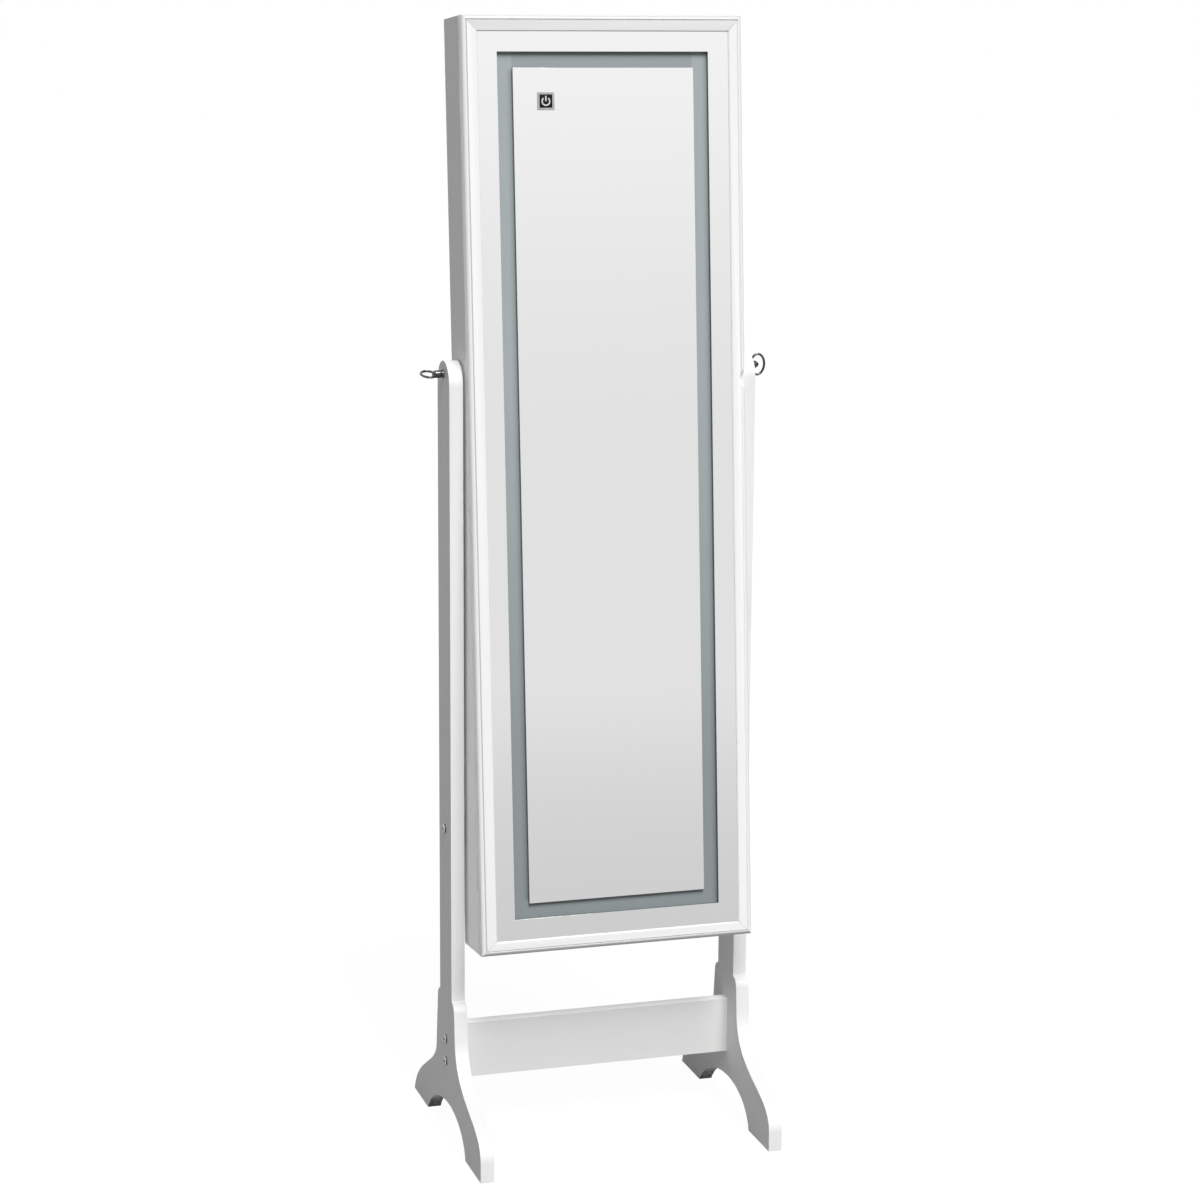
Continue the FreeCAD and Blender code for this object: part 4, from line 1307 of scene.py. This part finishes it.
def floor_material():
    """White to the eye, the object's shadow kept, and darker near the feet where metal looks at it."""
    studio = bpy.context.scene.cabinet_studio
    near, far = 0.4, 9.0
    floor = Finish("studio_floor", (0.22, 0.22, 0.22), 0.9)
    floor.set("Base Color", floor.mixed(floor.grain(9.0, 2.0), (0.215, 0.215, 0.215), (0.225, 0.225, 0.225)))
    to_eye = (floor.ray("Camera") + floor.ray("Transmission")).least(1.0)
    reach = floor.node("ShaderNodeVectorMath", {0: floor.place}, output="Value", operation="LENGTH")
    in_metal = studio.near_floor + reach.clear_of(near, far) * (studio.horizon - studio.near_floor)
    white = to_eye * studio.floor_glow + (1.0 - to_eye) * in_metal
    glow = floor.node("ShaderNodeEmission", {"Strength": white})
    seen = (to_eye * studio.floor_white).most(floor.ray("Glossy"))
    lit = Wire(floor, floor.shader.outputs[0])
    both = floor.node("ShaderNodeMixShader", {0: seen, 1: lit, 2: glow})
    floor.join(floor.tree.nodes["Material Output"].inputs["Surface"], both)
    return floor.material


def make_world():
    """Even light all round: white to the eye, and a soft upward gradient where metal looks at it."""
    studio = bpy.context.scene.cabinet_studio
    world = bpy.data.worlds.new("studio_light")
    bpy.context.scene.world = world
    world.use_nodes = True
    sky = Nodes(world.node_tree, "Generated")
    background = sky.tree.nodes["Background"]
    to_eye = sky.ray("Camera") + sky.ray("Transmission")
    to_metal = sky.ray("Glossy")
    rise = sky.along("Z").clear_of(0.0, 0.19)
    in_metal = studio.horizon + rise * (studio.overhead - studio.horizon)
    to_rest = 1.0 - to_metal - to_eye
    strength = to_rest * studio.ambient + to_eye + to_metal * in_metal
    sky.join(background.inputs["Strength"], strength)
    sky.join(background.inputs["Color"], (1.0, 1.0, 1.0))


def make_camera():
    studio = bpy.context.scene.cabinet_studio
    yaw, pitch, roll = studio.yaw, studio.pitch, studio.roll
    ahead = Vector((math.sin(yaw) * math.cos(pitch), math.cos(yaw) * math.cos(pitch), math.sin(pitch)))
    across = Vector((math.cos(yaw), -math.sin(yaw), 0.0))
    up = across.cross(ahead)
    right = math.cos(roll) * across + math.sin(roll) * up
    top = -math.sin(roll) * across + math.cos(roll) * up
    data = bpy.data.cameras.new("studio_camera")
    data.sensor_width = 36.0
    data.lens = studio.lens
    data.clip_end = 200.0
    camera = bpy.data.objects.new("studio_camera", data)
    turn = Matrix((right, top, -ahead)).transposed().to_4x4()
    camera.matrix_world = Matrix.Translation(studio.camera_place) @ turn
    bpy.context.scene.collection.objects.link(camera)
    bpy.context.scene.camera = camera


def make_sun(name, strength, spread, source):
    """A far lamp that shines from the direction source, its shadows softened by spread."""
    data = bpy.data.lights.new(name, "SUN")
    data.energy = strength
    data.angle = spread
    lamp = bpy.data.objects.new(name, data)
    lamp.rotation_euler = Vector(source).to_track_quat("Z", "Y").to_euler()
    bpy.context.scene.collection.objects.link(lamp)


class CABINET_OT_studio(bpy.types.Operator):
    """Make the floor, the lights and the camera"""

    bl_idname = "cabinet.studio"
    bl_label = "Studio"

    def execute(self, context):
        studio = context.scene.cabinet_studio
        shape = bmesh.new()
        bmesh.ops.create_circle(shape, cap_ends=True, radius=studio.floor_radius, segments=96)
        mesh = bpy.data.meshes.new("studio_floor")
        shape.to_mesh(mesh)
        shape.free()
        mesh.materials.append(floor_material())
        floor = bpy.data.objects.new("studio_floor", mesh)
        context.scene.collection.objects.link(floor)
        make_world()
        make_sun("soft_key", studio.key, studio.key_spread, studio.key_source)
        make_sun("soft_back", studio.back, studio.back_spread, studio.back_source)
        make_camera()
        context.scene.view_settings.view_transform = "Standard"
        return {"FINISHED"}


# Panel and registration


OPERATORS = [
    CABINET_OT_finishes,
    CABINET_OT_boards,
    CABINET_OT_bolts,
    CABINET_OT_knobs,
    CABINET_OT_case,
    CABINET_OT_shelves,
    CABINET_OT_rod,
    CABINET_OT_hooks,
    CABINET_OT_cushion,
    CABINET_OT_hinges,
    CABINET_OT_lock,
    CABINET_OT_catches,
    CABINET_OT_frame,
    CABINET_OT_mirror,
    CABINET_OT_light,
    CABINET_OT_switch,
    CABINET_OT_battery,
    CABINET_OT_studio,
]


class CABINET_PT_panel(bpy.types.Panel):
    """Lists the cabinet's operators in the sidebar"""

    bl_idname = "CABINET_PT_panel"
    bl_label = "Jewelry cabinet"
    bl_space_type = "VIEW_3D"
    bl_region_type = "UI"
    bl_category = "Cabinet"

    def draw(self, context):
        for made in OPERATORS:
            self.layout.operator(made.bl_idname)


def register():
    for name, group in GROUPS.items():
        bpy.utils.register_class(group)
        setattr(bpy.types.Scene, name, PointerProperty(type=group))
    for made in OPERATORS:
        bpy.utils.register_class(made)
    bpy.utils.register_class(CABINET_PT_panel)


def unregister():
    bpy.utils.unregister_class(CABINET_PT_panel)
    for made in reversed(OPERATORS):
        bpy.utils.unregister_class(made)
    for name, group in GROUPS.items():
        delattr(bpy.types.Scene, name)
        bpy.utils.unregister_class(group)


def main():
    register()
    for made in OPERATORS:
        getattr(bpy.ops.cabinet, made.bl_idname.split(".")[1])()
    bpy.context.view_layer.update()


if __name__ == "__main__":
    main()
